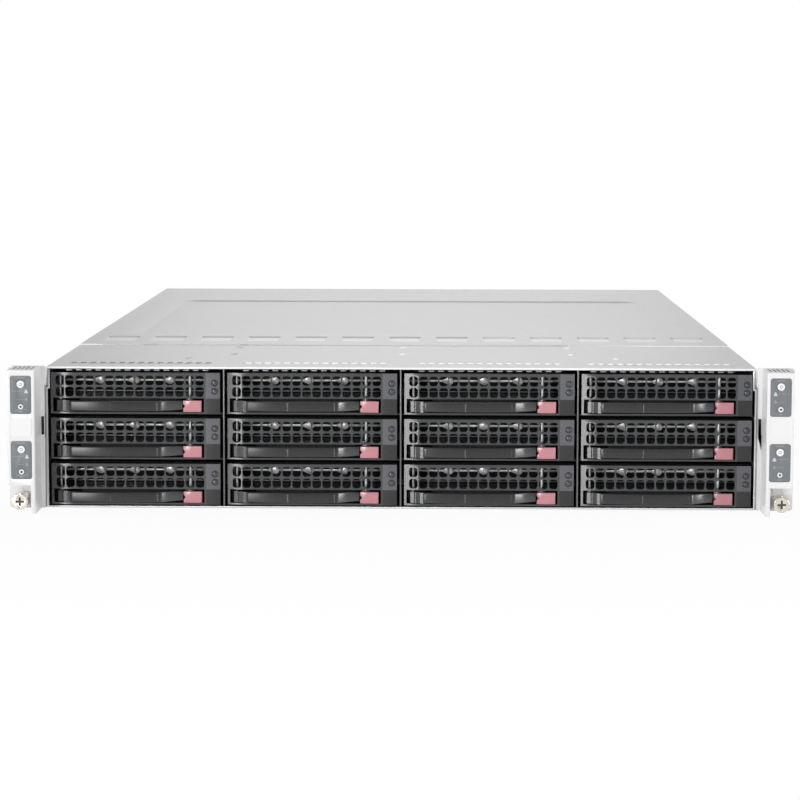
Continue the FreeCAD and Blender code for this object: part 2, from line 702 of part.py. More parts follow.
def tray_screws():
    """Four screws that hold the drive between its rails."""
    screws = []
    for y, z in drive_screw_places():
        head = rod(Vec(HALF_DRIVE, y, z), DRIVE_SCREW_HEAD, BEZEL_WALL - 2 * LAP_GAP, X_AXIS)
        shank = rod(Vec(HALF_DRIVE - DRIVE_SCREW_REACH, y, z), DRIVE_SCREW_SHANK, DRIVE_SCREW_REACH, X_AXIS)
        screw = joined([head, shank])
        screws += [screw, mirrored(screw)]
    return screws


def drive_boss(x, z):
    """Round boss with a pointed tail on its left, on the rim's front edge."""
    y = DRIVE_FRONT - DRIVE_BOSS_DEPTH
    disc = rod(Vec(x, y, z), DRIVE_BOSS_RADIUS, DRIVE_BOSS_DEPTH, Y_AXIS)
    tangent = DRIVE_BOSS_RADIUS * math.sqrt(1 - (DRIVE_BOSS_RADIUS / DRIVE_BOSS_TAIL) ** 2)
    foot = DRIVE_BOSS_RADIUS**2 / DRIVE_BOSS_TAIL
    corners = [Vec(x - DRIVE_BOSS_TAIL, y, z), Vec(x - foot, y, z - tangent), Vec(x - foot, y, z + tangent)]
    tail = Part.Face(Part.makePolygon([*corners, corners[0]])).extrude(Vec(0, DRIVE_BOSS_DEPTH, 0))
    return joined([disc, tail])


def hard_drive():
    """Cast base with a rim and three bosses on its front edge, and a lid above the rim."""
    half = HALF_DRIVE - RAIL_GAP
    rim_low = DRIVE_BOTTOM + DRIVE_RIM_HEIGHT
    rim_high = rim_low + DRIVE_RIM_THICK
    top = DRIVE_BOTTOM + DRIVE_HEIGHT
    front = DRIVE_FRONT + DRIVE_INSET
    lid_half, lid_rear = half - DRIVE_INSET, DRIVE_REAR - DRIVE_INSET
    base = round_prism_z(-half, half, front, DRIVE_REAR, DRIVE_BOTTOM, rim_low, DRIVE_CORNER)
    rim = round_prism_z(-half, half, DRIVE_FRONT, DRIVE_REAR, rim_low, rim_high, DRIVE_CORNER)
    lid = round_prism_z(-lid_half, lid_half, front, lid_rear, rim_high, top, DRIVE_CORNER)
    boss_z = (rim_low + rim_high) / 2
    bosses = [drive_boss(DRIVE_BOSS_OFFSET + i * DRIVE_BOSS_SPREAD, boss_z) for i in (-1, 0, 1)]
    holes = []
    for y, z in drive_screw_places():
        start = Vec(half - DRIVE_SCREW_REACH - LAP_GAP, y, z)
        hole = rod(start, DRIVE_SCREW_SHANK + LAP_GAP, DRIVE_SCREW_REACH + 1, X_AXIS)
        holes += [hole, mirrored(hole)]
    return [joined([base, rim, *bosses]).cut(holes), lid]


def drive_tray():
    return [tray_bezel(), *tray_rails(), *hard_drive(), *tray_pins(), *tray_lamps(), *tray_screws()]


def plan_arc(a, b, c):
    """The arc through three points of a tray's plan."""
    return Part.Arc(Vec(*a, 0), Vec(*b, 0), Vec(*c, 0))


def plan_circle(a, b, c):
    return Part.Circle(Vec(*a, 0), Vec(*b, 0), Vec(*c, 0))


def plan_line(a, b):
    return Part.LineSegment(Vec(*a, 0), Vec(*b, 0))


def tray_lever():
    """Bowed pull lever. It turns on the left pin, and its tip is hollowed for a fingertip."""
    start = LEVER_START - HALF_TRAY
    scoop = LATCH_X - SCOOP_LENGTH
    tip = LATCH_X - TIP_GAP
    bow_x, scoop_x = (start + scoop) / 2, (scoop + tip) / 2
    thick = LEVER_THICK
    height = LEVER_TOP - LEVER_BOTTOM
    face_left = (start, -LEVER_LEFT_PROUD)
    face_right = (scoop, -LEVER_RIGHT_PROUD)
    tip_front = (tip, LEVER_TIP_INSET)
    tip_back = (tip, LEVER_TIP_INSET + thick)
    back_right = (scoop, thick - LEVER_RIGHT_PROUD)
    back_left = (start + thick, thick - LEVER_LEFT_PROUD)
    arm_back = (HINGE_X + KNUCKLE_RADIUS / 2, HINGE_Y + KNUCKLE_RADIUS / 2)
    arm_front = (HINGE_X - KNUCKLE_RADIUS / 2, HINGE_Y - KNUCKLE_RADIUS / 2)
    arm_corner = (start - KNUCKLE_RADIUS / 2, -LEVER_SCOOP_INSET)
    ahead = -2 * LEVER_BOW
    slope = (start - arm_corner[0]) / (arm_corner[1] + LEVER_LEFT_PROUD)
    ahead_left = (start + slope * (LEVER_BOW - LEVER_LEFT_PROUD), -LEVER_BOW)
    outline = Part.Wire(
        [
            edge.toShape()
            for edge in (
                plan_line(ahead_left, (ahead_left[0], ahead)),
                plan_line((ahead_left[0], ahead), (tip, ahead)),
                plan_line((tip, ahead), tip_back),
                plan_arc(tip_back, (scoop_x, LEVER_SCOOP_INSET + thick), back_right),
                plan_arc(back_right, (bow_x, thick - LEVER_BOW), back_left),
                plan_line(back_left, arm_back),
                plan_line(arm_back, arm_front),
                plan_line(arm_front, arm_corner),
                plan_line(arm_corner, ahead_left),
            )
        ]
    )
    bar = Part.Face(outline).extrude(Vec(0, 0, height))
    bow = plan_circle(face_left, (bow_x, -LEVER_BOW), face_right)
    disc = rod(bow.Center, bow.Radius, height, Z_AXIS)
    rims = [edge for edge in disc.Edges if edge.Curve.TypeId == "Part::GeomCircle"]
    bar = bar.common(disc.makeFillet(LEVER_EDGE_ROUND, rims))
    hollow = plan_circle(face_right, (scoop_x, LEVER_SCOOP_INSET), tip_front)
    bar = bar.cut(rod(hollow.Center - Z_AXIS, hollow.Radius, height + 2, Z_AXIS))
    knuckle = rod(Vec(HINGE_X, HINGE_Y, 0), KNUCKLE_RADIUS, height, Z_AXIS)
    bore = rod(Vec(HINGE_X, HINGE_Y, -1), PIN_RADIUS + RUNNING_GAP, height + 2, Z_AXIS)
    return [moved(joined([bar, knuckle]).cut(bore), z=LEVER_BOTTOM)]


def tray_latch():
    """Release latch: a thumb pad with a notched edge on an arm that turns on the right pin."""
    left, right = LATCH_X, LATCH_X + LATCH_WIDTH
    back = LATCH_FACE_Y + LATCH_PAD_THICK
    pad = round_prism_z(left, right, LATCH_FACE_Y, back, LEVER_BOTTOM, LEVER_TOP, LATCH_PAD_ROUND)
    y, outside = LATCH_FACE_Y - 1, left - 1
    middle = (LEVER_BOTTOM + LEVER_TOP) / 2
    reach = LATCH_NOTCH_SPAN / 2
    low, high = middle - reach, middle + reach
    corners = [Vec(outside, y, low), Vec(left + LATCH_NOTCH, y, middle), Vec(outside, y, high)]
    notch = Part.Face(Part.makePolygon([*corners, corners[0]])).extrude(Vec(0, LATCH_PAD_THICK + 2, 0))
    half = LATCH_ARM / 2
    x, pivot_y = LATCH_PIVOT_X, LATCH_PIVOT_Y
    arm = box(x - half, x + half, back - 1, pivot_y, LEVER_BOTTOM + 1, LEVER_TOP - 1)
    height = LEVER_TOP - LEVER_BOTTOM
    knuckle = rod(Vec(x, pivot_y, LEVER_BOTTOM), LATCH_KNUCKLE_RADIUS, height, Z_AXIS)
    bore = rod(Vec(x, pivot_y, 0), PIN_RADIUS + RUNNING_GAP, LEVER_TOP + 1, Z_AXIS)
    return [joined([pad.cut(notch), arm, knuckle]).cut(bore)]


# ---------------------------------------------------------------- backplane and fans


def backplane():
    """Board behind the drives, with a drive socket and an air window for every bay."""
    y0, y1 = BACKPLANE_FRONT, BACKPLANE_REAR
    half = UPPER_INNER - BACKPLANE_EDGE
    board = box(-half, half, y0, y1, SHEET + BACKPLANE_EDGE, COVER_UNDER - BACKPLANE_EDGE)
    wide, deep, high = SOCKET_SIZE
    window_wide, window_high = WINDOW_SIZE
    windows, sockets = [], []
    for column in range(COLUMNS):
        for row in range(ROWS):
            left = column_x(column) - SOCKET_TO_MIDDLE - wide
            right = column_x(column) + SOCKET_TO_MIDDLE
            low = row_z(row) + SOCKET_LIFT
            sill = row_z(row) + (TRAY_HEIGHT - window_high) / 2
            sockets.append(box(left, left + wide, y0 - deep, y0, low, low + high))
            windows.append(box(right, right + window_wide, y0 - 1, y1 + 1, sill, sill + window_high))
    return [board.cut(windows), *sockets]


def fan_x(index):
    pitch = 2 * (UPPER_INNER - FAN_WALL_GAP) / COLUMNS
    return (index - (COLUMNS - 1) / 2) * pitch


def fan_frame(x):
    """Square frame with a round bore and four struts that hold the motor."""
    z, half = FAN_LEVEL, HALF_FAN
    strut_y = FAN_REAR - STRUT
    bore = rod(Vec(x, FAN_FRONT - 1, z), FAN_BORE, FAN_DEPTH + 2, Y_AXIS)
    frame = box(x - half, x + half, FAN_FRONT, FAN_REAR, z - half, z + half).cut(bore)
    reach, thin = FAN_BORE + FAN_RIM / 2, STRUT / 2
    struts = [
        box(x - reach, x + reach, strut_y, FAN_REAR, z - thin, z + thin),
        box(x - thin, x + thin, strut_y, FAN_REAR, z - reach, z + reach),
        rod(Vec(x, strut_y, z), FAN_HUB, STRUT, Y_AXIS),
    ]
    return joined([frame, *struts])


def pitched_blade(thick, chord, inner, outer, angle):
    """Flat blade standing out along +Z, pitched about its own length and then turned about Y."""
    blade = box(-thick / 2, thick / 2, -chord / 2, chord / 2, inner, outer)
    blade.rotate(Vec(0, 0, 0), Z_AXIS, BLADE_PITCH)
    blade.rotate(Vec(0, 0, 0), Y_AXIS, angle)
    return blade


def fan_rotor(x):
    """Hub and pitched blades."""
    length = FAN_DEPTH - STRUT - 2 * FAN_END_GAP
    reach = FAN_BORE - FAN_TIP_GAP
    start = Vec(0, -length / 2, 0)
    swept = rod(start, reach, length, Y_AXIS)
    blades = []
    for i in range(FAN_BLADES):
        blade = pitched_blade(BLADE_THICK, length * 1.2, FAN_HUB - 1, reach + 1, 360 / FAN_BLADES * i)
        blades.append(blade.common(swept))
    rotor = joined([rod(start, FAN_HUB, length, Y_AXIS), *blades])
    return moved(rotor, x, FAN_FRONT + FAN_END_GAP + length / 2, FAN_LEVEL)


def fan_bank():
    """A row of fans standing between a floor rail and a lighter top rail."""
    low, high = FAN_LEVEL - HALF_FAN, FAN_LEVEL + HALF_FAN
    wide = fan_x(COLUMNS - 1) + HALF_FAN + FAN_WALL_GAP
    solids = [
        box(-wide, wide, FAN_FRONT, FAN_REAR, low - FAN_RAIL, low),
        box(-wide, wide, FAN_FRONT, FAN_FRONT + FAN_RAIL_DEPTH, high, high + FAN_RAIL),
    ]
    for i in range(COLUMNS):
        solids += [fan_frame(fan_x(i)), fan_rotor(fan_x(i))]
    return solids


# ---------------------------------------------------------------- compute sleds


def sled_pan():
    """Folded tray floor with two side flanges."""
    rear = SLED_LENGTH - SLED_SHEET
    flange = box(HALF_SLED - SLED_SHEET, HALF_SLED, 0, rear, 0, SLED_FLANGE)
    return joined([box(-HALF_SLED, HALF_SLED, 0, rear, 0, SLED_SHEET), flange, mirrored(flange)])


def port_places():
    """Left edge, width, bottom and height of each port block on the board's rear edge."""
    left = PORT_MARGIN - HALF_SLED
    over_usb = left + (USB_WIDTH - JACK_WIDTH) / 2
    step = JACK_WIDTH + PORT_SPACE
    return {
        "usb": (left, USB_WIDTH, BOARD_TOP, USB_HEIGHT),
        "service": (over_usb, JACK_WIDTH, BOARD_TOP + USB_HEIGHT, JACK_HEIGHT),
        "network_1": (left + step, JACK_WIDTH, BOARD_TOP, JACK_HEIGHT),
        "network_2": (left + 2 * step, JACK_WIDTH, BOARD_TOP, JACK_HEIGHT),
        "video": (left + 3 * step, VIDEO_WIDTH, BOARD_TOP, VIDEO_HEIGHT),
    }


def slot_place():
    """Left edge, width, bottom and height of the card slot."""
    left = PORT_MARGIN - HALF_SLED + JACK_WIDTH + PORT_SPACE
    return left, SLOT_WIDTH, SLED_HEIGHT - SLOT_FROM_TOP - SLOT_HEIGHT, SLOT_HEIGHT


def handle_span():
    right = HALF_SLED - HANDLE_FROM_RIGHT + HANDLE_WIDTH / 2
    return right - HANDLE_WIDTH, right


def catch_span():
    right = handle_span()[0] - CATCH_GAP
    return right - CATCH_WIDTH, right


def sled_panel():
    """Rear panel with windows for the ports and the card slot, and one for the exhaust air."""
    y0, y1 = SLED_LENGTH - SLED_SHEET, SLED_LENGTH
    gap = PANEL_GAP
    windows = [
        box(x - gap, x + width + gap, y0 - 1, y1 + 1, z - gap, z + height + gap)
        for x, width, z, height in [*port_places().values(), slot_place()]
    ]
    left = slot_place()[0] + SLOT_WIDTH + VENT_MARGIN
    right = catch_span()[0] - VENT_MARGIN
    low, high = SLED_SHEET + VENT_MARGIN, SLED_HEIGHT - VENT_MARGIN
    windows.append(round_prism_y(left, right, y0 - 1, y1 + 1, low, high, VENT_CORNER))
    return box(-HALF_SLED, HALF_SLED, y0, y1, 0, SLED_HEIGHT).cut(windows)


def jack(place):
    """Network jack with its square cavity and the keyway for the plug's clip."""
    x, width, z, height = place
    rear = SLED_LENGTH + PORT_PROUD
    wide, high, deep = JACK_CAVITY
    key_wide, key_high = JACK_KEYWAY
    middle, low = x + width / 2, z + JACK_FLOOR
    top, half, half_key = low + high, wide / 2, key_wide / 2
    block = box(x, x + width, rear - PORT_DEPTH, rear, z, z + height)
    cavity = box(middle - half, middle + half, rear - deep, rear + 1, low, top)
    keyway = box(middle - half_key, middle + half_key, rear - deep, rear + 1, top, top + key_high)
    return block.cut([cavity, keyway])


def usb_block(place):
    """Two stacked sockets, each with its tongue."""
    x, width, z, height = place
    rear = SLED_LENGTH + PORT_PROUD
    wide, high, deep = USB_CAVITY
    tongue_wide, tongue_thick, tongue_reach = USB_TONGUE
    middle, back = x + width / 2, rear - deep
    spare = (height - 2 * high) / 3
    block = box(x, x + width, rear - PORT_DEPTH, rear, z, z + height)
    for level in range(2):
        low = z + spare + level * (high + spare)
        tongue_low = low + USB_TONGUE_LIFT
        cavity = box(middle - wide / 2, middle + wide / 2, back, rear + 1, low, low + high)
        tongue = box(
            middle - tongue_wide / 2, middle + tongue_wide / 2, back, back + tongue_reach,
            tongue_low, tongue_low + tongue_thick,
        )
        block = block.cut(cavity).fuse(tongue)
    return block.removeSplitter()


def video_port(place):
    """Connector block with a tapered shroud between two threaded posts."""
    x, width, z, height = place
    rear = SLED_LENGTH + PORT_PROUD
    middle, level = x + width / 2, z + height / 2
    top_wide, low_wide, high, reach = VIDEO_SHROUD
    low, top = level - high / 2, level + high / 2
    corners = [
        Vec(middle - low_wide / 2, rear, low), Vec(middle + low_wide / 2, rear, low),
        Vec(middle + top_wide / 2, rear, top), Vec(middle - top_wide / 2, rear, top),
    ]
    shroud = Part.Face(Part.makePolygon([*corners, corners[0]])).extrude(Vec(0, reach, 0))
    half_span = VIDEO_POST_SPAN / 2
    posts = [
        rod(Vec(middle + side * half_span, rear, level), VIDEO_POST_RADIUS, VIDEO_POST_LENGTH, Y_AXIS)
        for side in (-1, 1)
    ]
    block = box(x, x + width, rear - PORT_DEPTH, rear, z, z + height)
    return joined([block, shroud, *posts])


def slot_cover():
    x, width, z, height = slot_place()
    return box(x, x + width, SLED_LENGTH - SLED_SHEET, SLED_LENGTH, z, z + height)


def sled_handle():
    """Pull handle: a flat strap bent into a D and fixed to the rear panel."""
    x0, x1 = handle_span()
    y0, y1 = SLED_LENGTH, SLED_LENGTH + HANDLE_REACH
    z0, z1 = HANDLE_LOW, HANDLE_LOW + HANDLE_HEIGHT
    inner = y1 - HANDLE_BAR
    solid = box(x0, x1, y0, y1, z0, z1)
    solid = solid.makeFillet(HANDLE_BAR * 1.5, edges_along(solid, X_AXIS, lambda m: m.y > y1 - 0.01))
    gap = box(x0 - 1, x1 + 1, y0 - 1, inner, z0 + HANDLE_BAR, z1 - HANDLE_BAR)
    gap = gap.makeFillet(HANDLE_BAR / 2, edges_along(gap, X_AXIS, lambda m: m.y > inner - 0.01))
    return solid.cut(gap)


def sled_catch():
    """Thumb lever that frees the sled, beside the handle."""
    x0, x1 = catch_span()
    y0, y1 = SLED_LENGTH, SLED_LENGTH + CATCH_REACH
    z0, z1 = CATCH_LOW, CATCH_LOW + CATCH_HEIGHT
    inset = CATCH_WIDTH / 4
    stem = box(x0 + inset, x1 - inset, y0, y1, z0 + 2 * inset, z1 - 2 * inset)
    return joined([stem, round_prism_y(x0, x1, y1 - CATCH_PAD, y1, z0, z1, CATCH_CORNER)])


def sled_board():
    edge = HALF_SLED - SLED_SHEET - BOARD_MARGIN
    return box(-edge, edge, BOARD_FRONT, SLED_LENGTH - SLED_SHEET - BOARD_MARGIN, BOARD_LIFT, BOARD_TOP)


def board_posts():
    """Stand-offs under the board."""
    x = HALF_SLED - POST_FROM_EDGE
    rows = (BOARD_FRONT + POST_FROM_END, SLED_LENGTH / 2, SLED_LENGTH - 2 * POST_FROM_END)
    height = BOARD_LIFT - SLED_SHEET
    return [rod(Vec(side * x, y, SLED_SHEET), POST_RADIUS, height, Z_AXIS) for side in (-1, 1) for y in rows]


def memory_bank(side, y):
    """Memory modules side by side between a cooler and the edge of the sled."""
    inner = COOLER_SIZE / 2
    pitch = (HALF_SLED - SLED_SHEET - BOARD_MARGIN - inner) / MEMORY_PER_BANK
    top = min(BOARD_TOP + MEMORY_HEIGHT, SLED_HEIGHT - CEILING_GAP)
    half_thick, half_long = MEMORY_THICK / 2, MEMORY_LENGTH / 2
    modules = []
    for i in range(MEMORY_PER_BANK):
        x = side * (inner + pitch * (i + 0.5))
        modules.append(box(x - half_thick, x + half_thick, y - half_long, y + half_long, BOARD_TOP, top))
    return modules


def board_parts():
    """Two processor coolers with memory beside each, the front plug and a chip near the ports."""
    half = COOLER_SIZE / 2
    top = min(BOARD_TOP + COOLER_HEIGHT, SLED_HEIGHT - CEILING_GAP)
    solids = []
    for y in (COOLER_FROM_FRONT, COOLER_FROM_FRONT + COOLER_SPAN):
        solids.append(box(-half, half, y - half, y + half, BOARD_TOP, top))
        solids += memory_bank(-1, y) + memory_bank(1, y)
    wide, deep, high = FRONT_PLUG
    solids.append(box(-wide / 2, wide / 2, 0, deep, BOARD_TOP, BOARD_TOP + high))
    wide, deep, high = CHIP_SIZE
    chip = box(-wide / 2, wide / 2, -deep, 0, BOARD_TOP, BOARD_TOP + high)
    return [*solids, moved(chip, CHIP_X, SLED_LENGTH - CHIP_FROM_REAR)]


def compute_sled():
    """Sled in its own frame: x from its middle, y from its front end, z from its underside."""
    places = port_places()
    jacks = [jack(places[name]) for name in ("service", "network_1", "network_2")]
    ports = [usb_block(places["usb"]), video_port(places["video"]), *jacks]
    panel = [sled_panel(), slot_cover(), sled_handle(), sled_catch()]
    return [sled_pan(), sled_board(), *board_posts(), *board_parts(), *panel, *ports]


# ---------------------------------------------------------------- power supplies


def inlet_outline():
    """Left, right, bottom and top of the mains inlet's block."""
    wide, high, _ = INLET_CAVITY
    right = HALF_SUPPLY - INLET_FROM_RIGHT
    top = SLED_HEIGHT - INLET_FROM_TOP
    return right - wide - 2 * INLET_WALL, right, top - high - 2 * INLET_WALL, top


def supply_case():
    """Sheet case with a round exhaust opening and a window for the mains inlet."""
    t, rear = SUPPLY_SHEET, SUPPLY_LENGTH
    gap = PANEL_GAP
    outer = box(-HALF_SUPPLY, HALF_SUPPLY, 0, rear, 0, SLED_HEIGHT)
    inner = box(t - HALF_SUPPLY, HALF_SUPPLY - t, t, rear - t, t, SLED_HEIGHT - t)
    fan_hole = rod(Vec(SUPPLY_FAN_X, rear - 2 * t, SLED_HEIGHT / 2), SUPPLY_FAN_RADIUS, 3 * t, Y_AXIS)
    x0, x1, z0, z1 = inlet_outline()
    window = box(x0 - gap, x1 + gap, rear - 2 * t, rear + t, z0 - gap, z1 + gap)
    return outer.cut([inner, fan_hole, window])


def supply_inlet():
    """Mains inlet with three blades in a square well."""
    _, _, deep = INLET_CAVITY
    x0, x1, z0, z1 = inlet_outline()
    wall = INLET_WALL
    rear = SUPPLY_LENGTH + PORT_PROUD
    floor = rear - deep
    block = box(x0, x1, floor - wall, rear, z0, z1)
    well = box(x0 + wall, x1 - wall, floor, rear + 1, z0 + wall, z1 - wall)
    thick, tall, reach = INLET_BLADE
    middle, low = (x0 + x1) / 2, z0 + wall + INLET_BLADE_LIFT
    blades = []
    for i in (-1, 0, 1):
        x = middle + i * INLET_BLADE_SPACING
        blades.append(box(x - thick / 2, x + thick / 2, floor, floor + reach, low, low + tall))
    return joined([block.cut(well), *blades])


def supply_fan():
    """Small fan against the inside of the exhaust opening: a ring with two struts, and a rotor."""
    x, z = SUPPLY_FAN_X, SLED_HEIGHT / 2
    back = SUPPLY_LENGTH - SUPPLY_SHEET
    front = back - SUPPLY_FAN_DEPTH
    outer, inner = SUPPLY_FAN_RADIUS + SUPPLY_FAN_WALL, SUPPLY_FAN_RADIUS - SUPPLY_FAN_LAP
    span, thin = SUPPLY_FAN_RADIUS, STRUT / 2
    ring = rod(Vec(x, front, z), outer, SUPPLY_FAN_DEPTH, Y_AXIS)
    ring = ring.cut(rod(Vec(x, front - 1, z), inner, SUPPLY_FAN_DEPTH + 2, Y_AXIS))
    bar = box(x - span, x + span, front, front + STRUT, z - thin, z + thin)
    thick, chord = SUPPLY_BLADE
    start = front + STRUT + SUPPLY_FAN_LAP
    length = back - SUPPLY_FAN_LAP - start
    reach = inner - SUPPLY_FAN_WALL
    blades = []
    for i in range(SUPPLY_FAN_BLADES):
        blade = pitched_blade(thick, chord, SUPPLY_FAN_HUB - 1, reach, 360 / SUPPLY_FAN_BLADES * i)
        blades.append(moved(blade, x, start + length / 2, z))
    rotor = joined([rod(Vec(x, start, z), SUPPLY_FAN_HUB, length, Y_AXIS), *blades])
    return [joined([ring, bar]), rotor]


def supply_bail():
    """Wire handle across the exhaust opening."""
    x0, x1 = SUPPLY_FAN_X - BAIL_WIDTH / 2, SUPPLY_FAN_X + BAIL_WIDTH / 2
    y0, y1 = SUPPLY_LENGTH, SUPPLY_LENGTH + BAIL_REACH - BAIL_RADIUS
    z = SLED_HEIGHT / 2
    bend = BAIL_BEND
    turn = bend * (1 - math.sqrt(0.5))
    wire = Part.Wire(
        [
            Part.LineSegment(Vec(x0, y0, z), Vec(x0, y1 - bend, z)).toShape(),
            Part.Arc(Vec(x0, y1 - bend, z), Vec(x0 + turn, y1 - turn, z), Vec(x0 + bend, y1, z)).toShape(),
            Part.LineSegment(Vec(x0 + bend, y1, z), Vec(x1 - bend, y1, z)).toShape(),
            Part.Arc(Vec(x1 - bend, y1, z), Vec(x1 - turn, y1 - turn, z), Vec(x1, y1 - bend, z)).toShape(),
            Part.LineSegment(Vec(x1, y1 - bend, z), Vec(x1, y0, z)).toShape(),
        ]
    )
    section = Part.Wire([Part.Circle(Vec(x0, y0, z), Y_AXIS, BAIL_RADIUS).toShape()])
    return wire.makePipeShell([section], True, False)


def supply_tab():
    """Thumb tab that frees the supply."""
    right = HALF_SUPPLY - TAB_FROM_EDGE
    level = SLED_HEIGHT / 2
    y0, y1 = SUPPLY_LENGTH, SUPPLY_LENGTH + TAB_REACH
    wide, high, deep = TAB_PAD
    tab = box(right - TAB_THICK, right, y0, y1, level - TAB_HEIGHT / 2, level + TAB_HEIGHT / 2)
    pad = round_prism_y(right - wide, right, y1 - deep, y1, level - high / 2, level + high / 2, CATCH_CORNER)
    return joined([tab, pad])


def supply_tongue():
    """Contact board at the front end."""
    low = SLED_HEIGHT / 2
    return box(-TONGUE_WIDTH / 2, TONGUE_WIDTH / 2, -TONGUE_REACH, 0, low, low + BOARD_THICK)


def power_supply():
    """Supply in its own frame: x from its middle, y from its front end, z from its underside."""
    return [supply_case(), supply_inlet(), *supply_fan(), supply_bail(), supply_tab(), supply_tongue()]


# ---------------------------------------------------------------- rack ears, buttons and screws


def ear_bracket():
    """Folded steel bracket: the rack flange, and a wing that lies against the chassis wall."""
    x_in = HALF_BODY + LAP_GAP
    front = -FLANGE_SHEET
    flange = box(x_in, HALF_RACK, front, 0, 0, BODY_HEIGHT)
    flange = flange.makeFillet(FLANGE_CORNER, edges_along(flange, Y_AXIS, lambda m: m.x > HALF_RACK - 0.01))
    wing = box(x_in, x_in + FLANGE_SHEET, front, WING_LENGTH, 0, WING_TOP)
    relief_wide, relief_deep = EAR_RELIEF
    slot_left, slot_right = x_in + EAR_SLOT_FROM_WING, HOUSING_INNER - LAP_GAP
    tools = [
        box(x_in - 1, x_in + relief_wide, front - 1, relief_deep, -1, WING_TOP + 1),
        box(slot_left, slot_right, front - 1, FLANGE_SHEET, *EAR_SLOT_HEIGHTS),
        rod(Vec(RACK_HOLE_X, front - 1, RACK_HOLE_HEIGHT), SCREW_HOLE_RADIUS, FLANGE_SHEET + 2, Y_AXIS),
    ]
    return joined([flange, wing]).cut(tools)


def button_places():
    """Kind, number, height and radius of the buttons on an ear, from the lower label to the upper."""
    places = []
    for index, centre in enumerate(LABEL_CENTRES, 1):
        places.append(("power", index, centre + POWER_ABOVE, POWER_RADIUS))
        places.append(("ident", index, centre - IDENT_BELOW, IDENT_RADIUS))
    return places


def button_holes(depth):
    start = -HOUSING_DEPTH - 1
    return [
        rod(Vec(HOUSING_MIDDLE, start, z), radius + BUTTON_GAP, depth + 2, Y_AXIS)
        for _, _, z, radius in button_places()
    ]


def label_block(centre, depth, gap):
    """Round-cornered block behind the housing's face, with a gap all round."""
    half_wide, half_high = LABEL_WIDTH / 2 + gap, LABEL_HEIGHT / 2 + gap
    left, right = HOUSING_MIDDLE - half_wide, HOUSING_MIDDLE + half_wide
    low, high = centre - half_high, centre + half_high
    return round_prism_y(left, right, -HOUSING_DEPTH, depth - HOUSING_DEPTH, low, high, LABEL_ROUND)


def housing_vents():
    """Slots in the housing's top, running front to back."""
    wall, margin = HOUSING_WALL, HOUSING_VENT_MARGIN
    pitch = (HOUSING_WIDTH - 2 * wall) / HOUSING_VENTS
    y0, y1 = margin - HOUSING_DEPTH, -FLANGE_SHEET - margin
    half = HOUSING_VENT_WIDTH / 2
    slots = []
    for i in range(HOUSING_VENTS):
        x = HOUSING_INNER + wall + (i + 0.5) * pitch
        slots.append(box(x - half, x + half, y0, y1, BODY_HEIGHT - wall - 1, BODY_HEIGHT + 1))
    return slots


def ear_housing():
    """Hollow control-panel housing with a rib that runs down beside the rack screw."""
    front, back = -HOUSING_DEPTH, -FLANGE_SHEET
    wall = HOUSING_WALL
    block = box(HOUSING_INNER, HOUSING_OUTER, front, back, HOUSING_BOTTOM, BODY_HEIGHT)
    rib = box(HOUSING_INNER, HOUSING_INNER + RIB_WIDTH, front, back, 0, HOUSING_BOTTOM)
    outside = joined([block, rib])
    rims = edges_along(outside, Z_AXIS, lambda m: m.y < front + 0.01)
    rims += edges_along(outside, X_AXIS, lambda m: m.y < front + 0.01 and m.z > BODY_HEIGHT - 0.01)
    outside = outside.makeFillet(HOUSING_ROUND, rims)
    low, high = HOUSING_BOTTOM + wall, BODY_HEIGHT - wall
    hollow = box(HOUSING_INNER + wall, HOUSING_OUTER - wall, front + wall, back + 1, low, high)
    seats = [label_block(centre, LABEL_THICK, LABEL_GAP) for centre in LABEL_CENTRES]
    return outside.cut([hollow, *seats, *button_holes(wall), *housing_vents()])


def ear_labels():
    """Thin overlays let into the housing's face, pierced for the buttons."""
    return [label_block(centre, LABEL_THICK, 0).cut(button_holes(LABEL_THICK)) for centre in LABEL_CENTRES]


def ear_board():
    """Switch board inside the housing and a switch behind each button."""
    inset = HOUSING_WALL + PANEL_GAP
    front = -PANEL_BOARD_BACK - BOARD_THICK
    low, high = HOUSING_BOTTOM + inset, BODY_HEIGHT - inset
    board = box(HOUSING_INNER + inset, HOUSING_OUTER - inset, front, -PANEL_BOARD_BACK, low, high)
    half, x = SWITCH_SIZE / 2, HOUSING_MIDDLE
    heights = [z for _, _, z, _ in button_places()]
    switches = [box(x - half, x + half, front - SWITCH_HEIGHT, front, z - half, z + half) for z in heights]
    return [board, *switches]


def ear_screws():
    """Low screw heads that hold the wing to the chassis wall."""
    x = HALF_BODY + LAP_GAP + FLANGE_SHEET
    return [rod(Vec(x, y, z), EAR_SCREW_RADIUS, EAR_SCREW_PROUD, X_AXIS) for y, z in EAR_SCREW_PLACES]


def right_ear():
    return [ear_bracket(), ear_housing(), *ear_labels(), *ear_board(), *ear_screws()]


def panel_button(z, radius):
    """Cap, a collar that keeps it in the housing, and a stem that reaches the switch."""
    x = HOUSING_MIDDLE
    cap_front = -HOUSING_DEPTH - BUTTON_PROUD
    collar_front = HOUSING_WALL + BUTTON_GAP - HOUSING_DEPTH
    collar_back = collar_front + BUTTON_COLLAR
    switch_front = -PANEL_BOARD_BACK - BOARD_THICK - SWITCH_HEIGHT
    stem_end = switch_front - BUTTON_TRAVEL - BUTTON_GAP
    cap = rod(Vec(x, cap_front, z), radius, collar_front - cap_front, Y_AXIS)
    cap = cap.makeFillet(BUTTON_EDGE, round_rims(cap, Y_AXIS, cap_front))
    collar = rod(Vec(x, collar_front, z), radius + BUTTON_COLLAR, BUTTON_COLLAR, Y_AXIS)
    stem = rod(Vec(x, collar_back, z), BUTTON_STEM_RADIUS, stem_end - collar_back, Y_AXIS)
    return joined([cap, collar, stem])


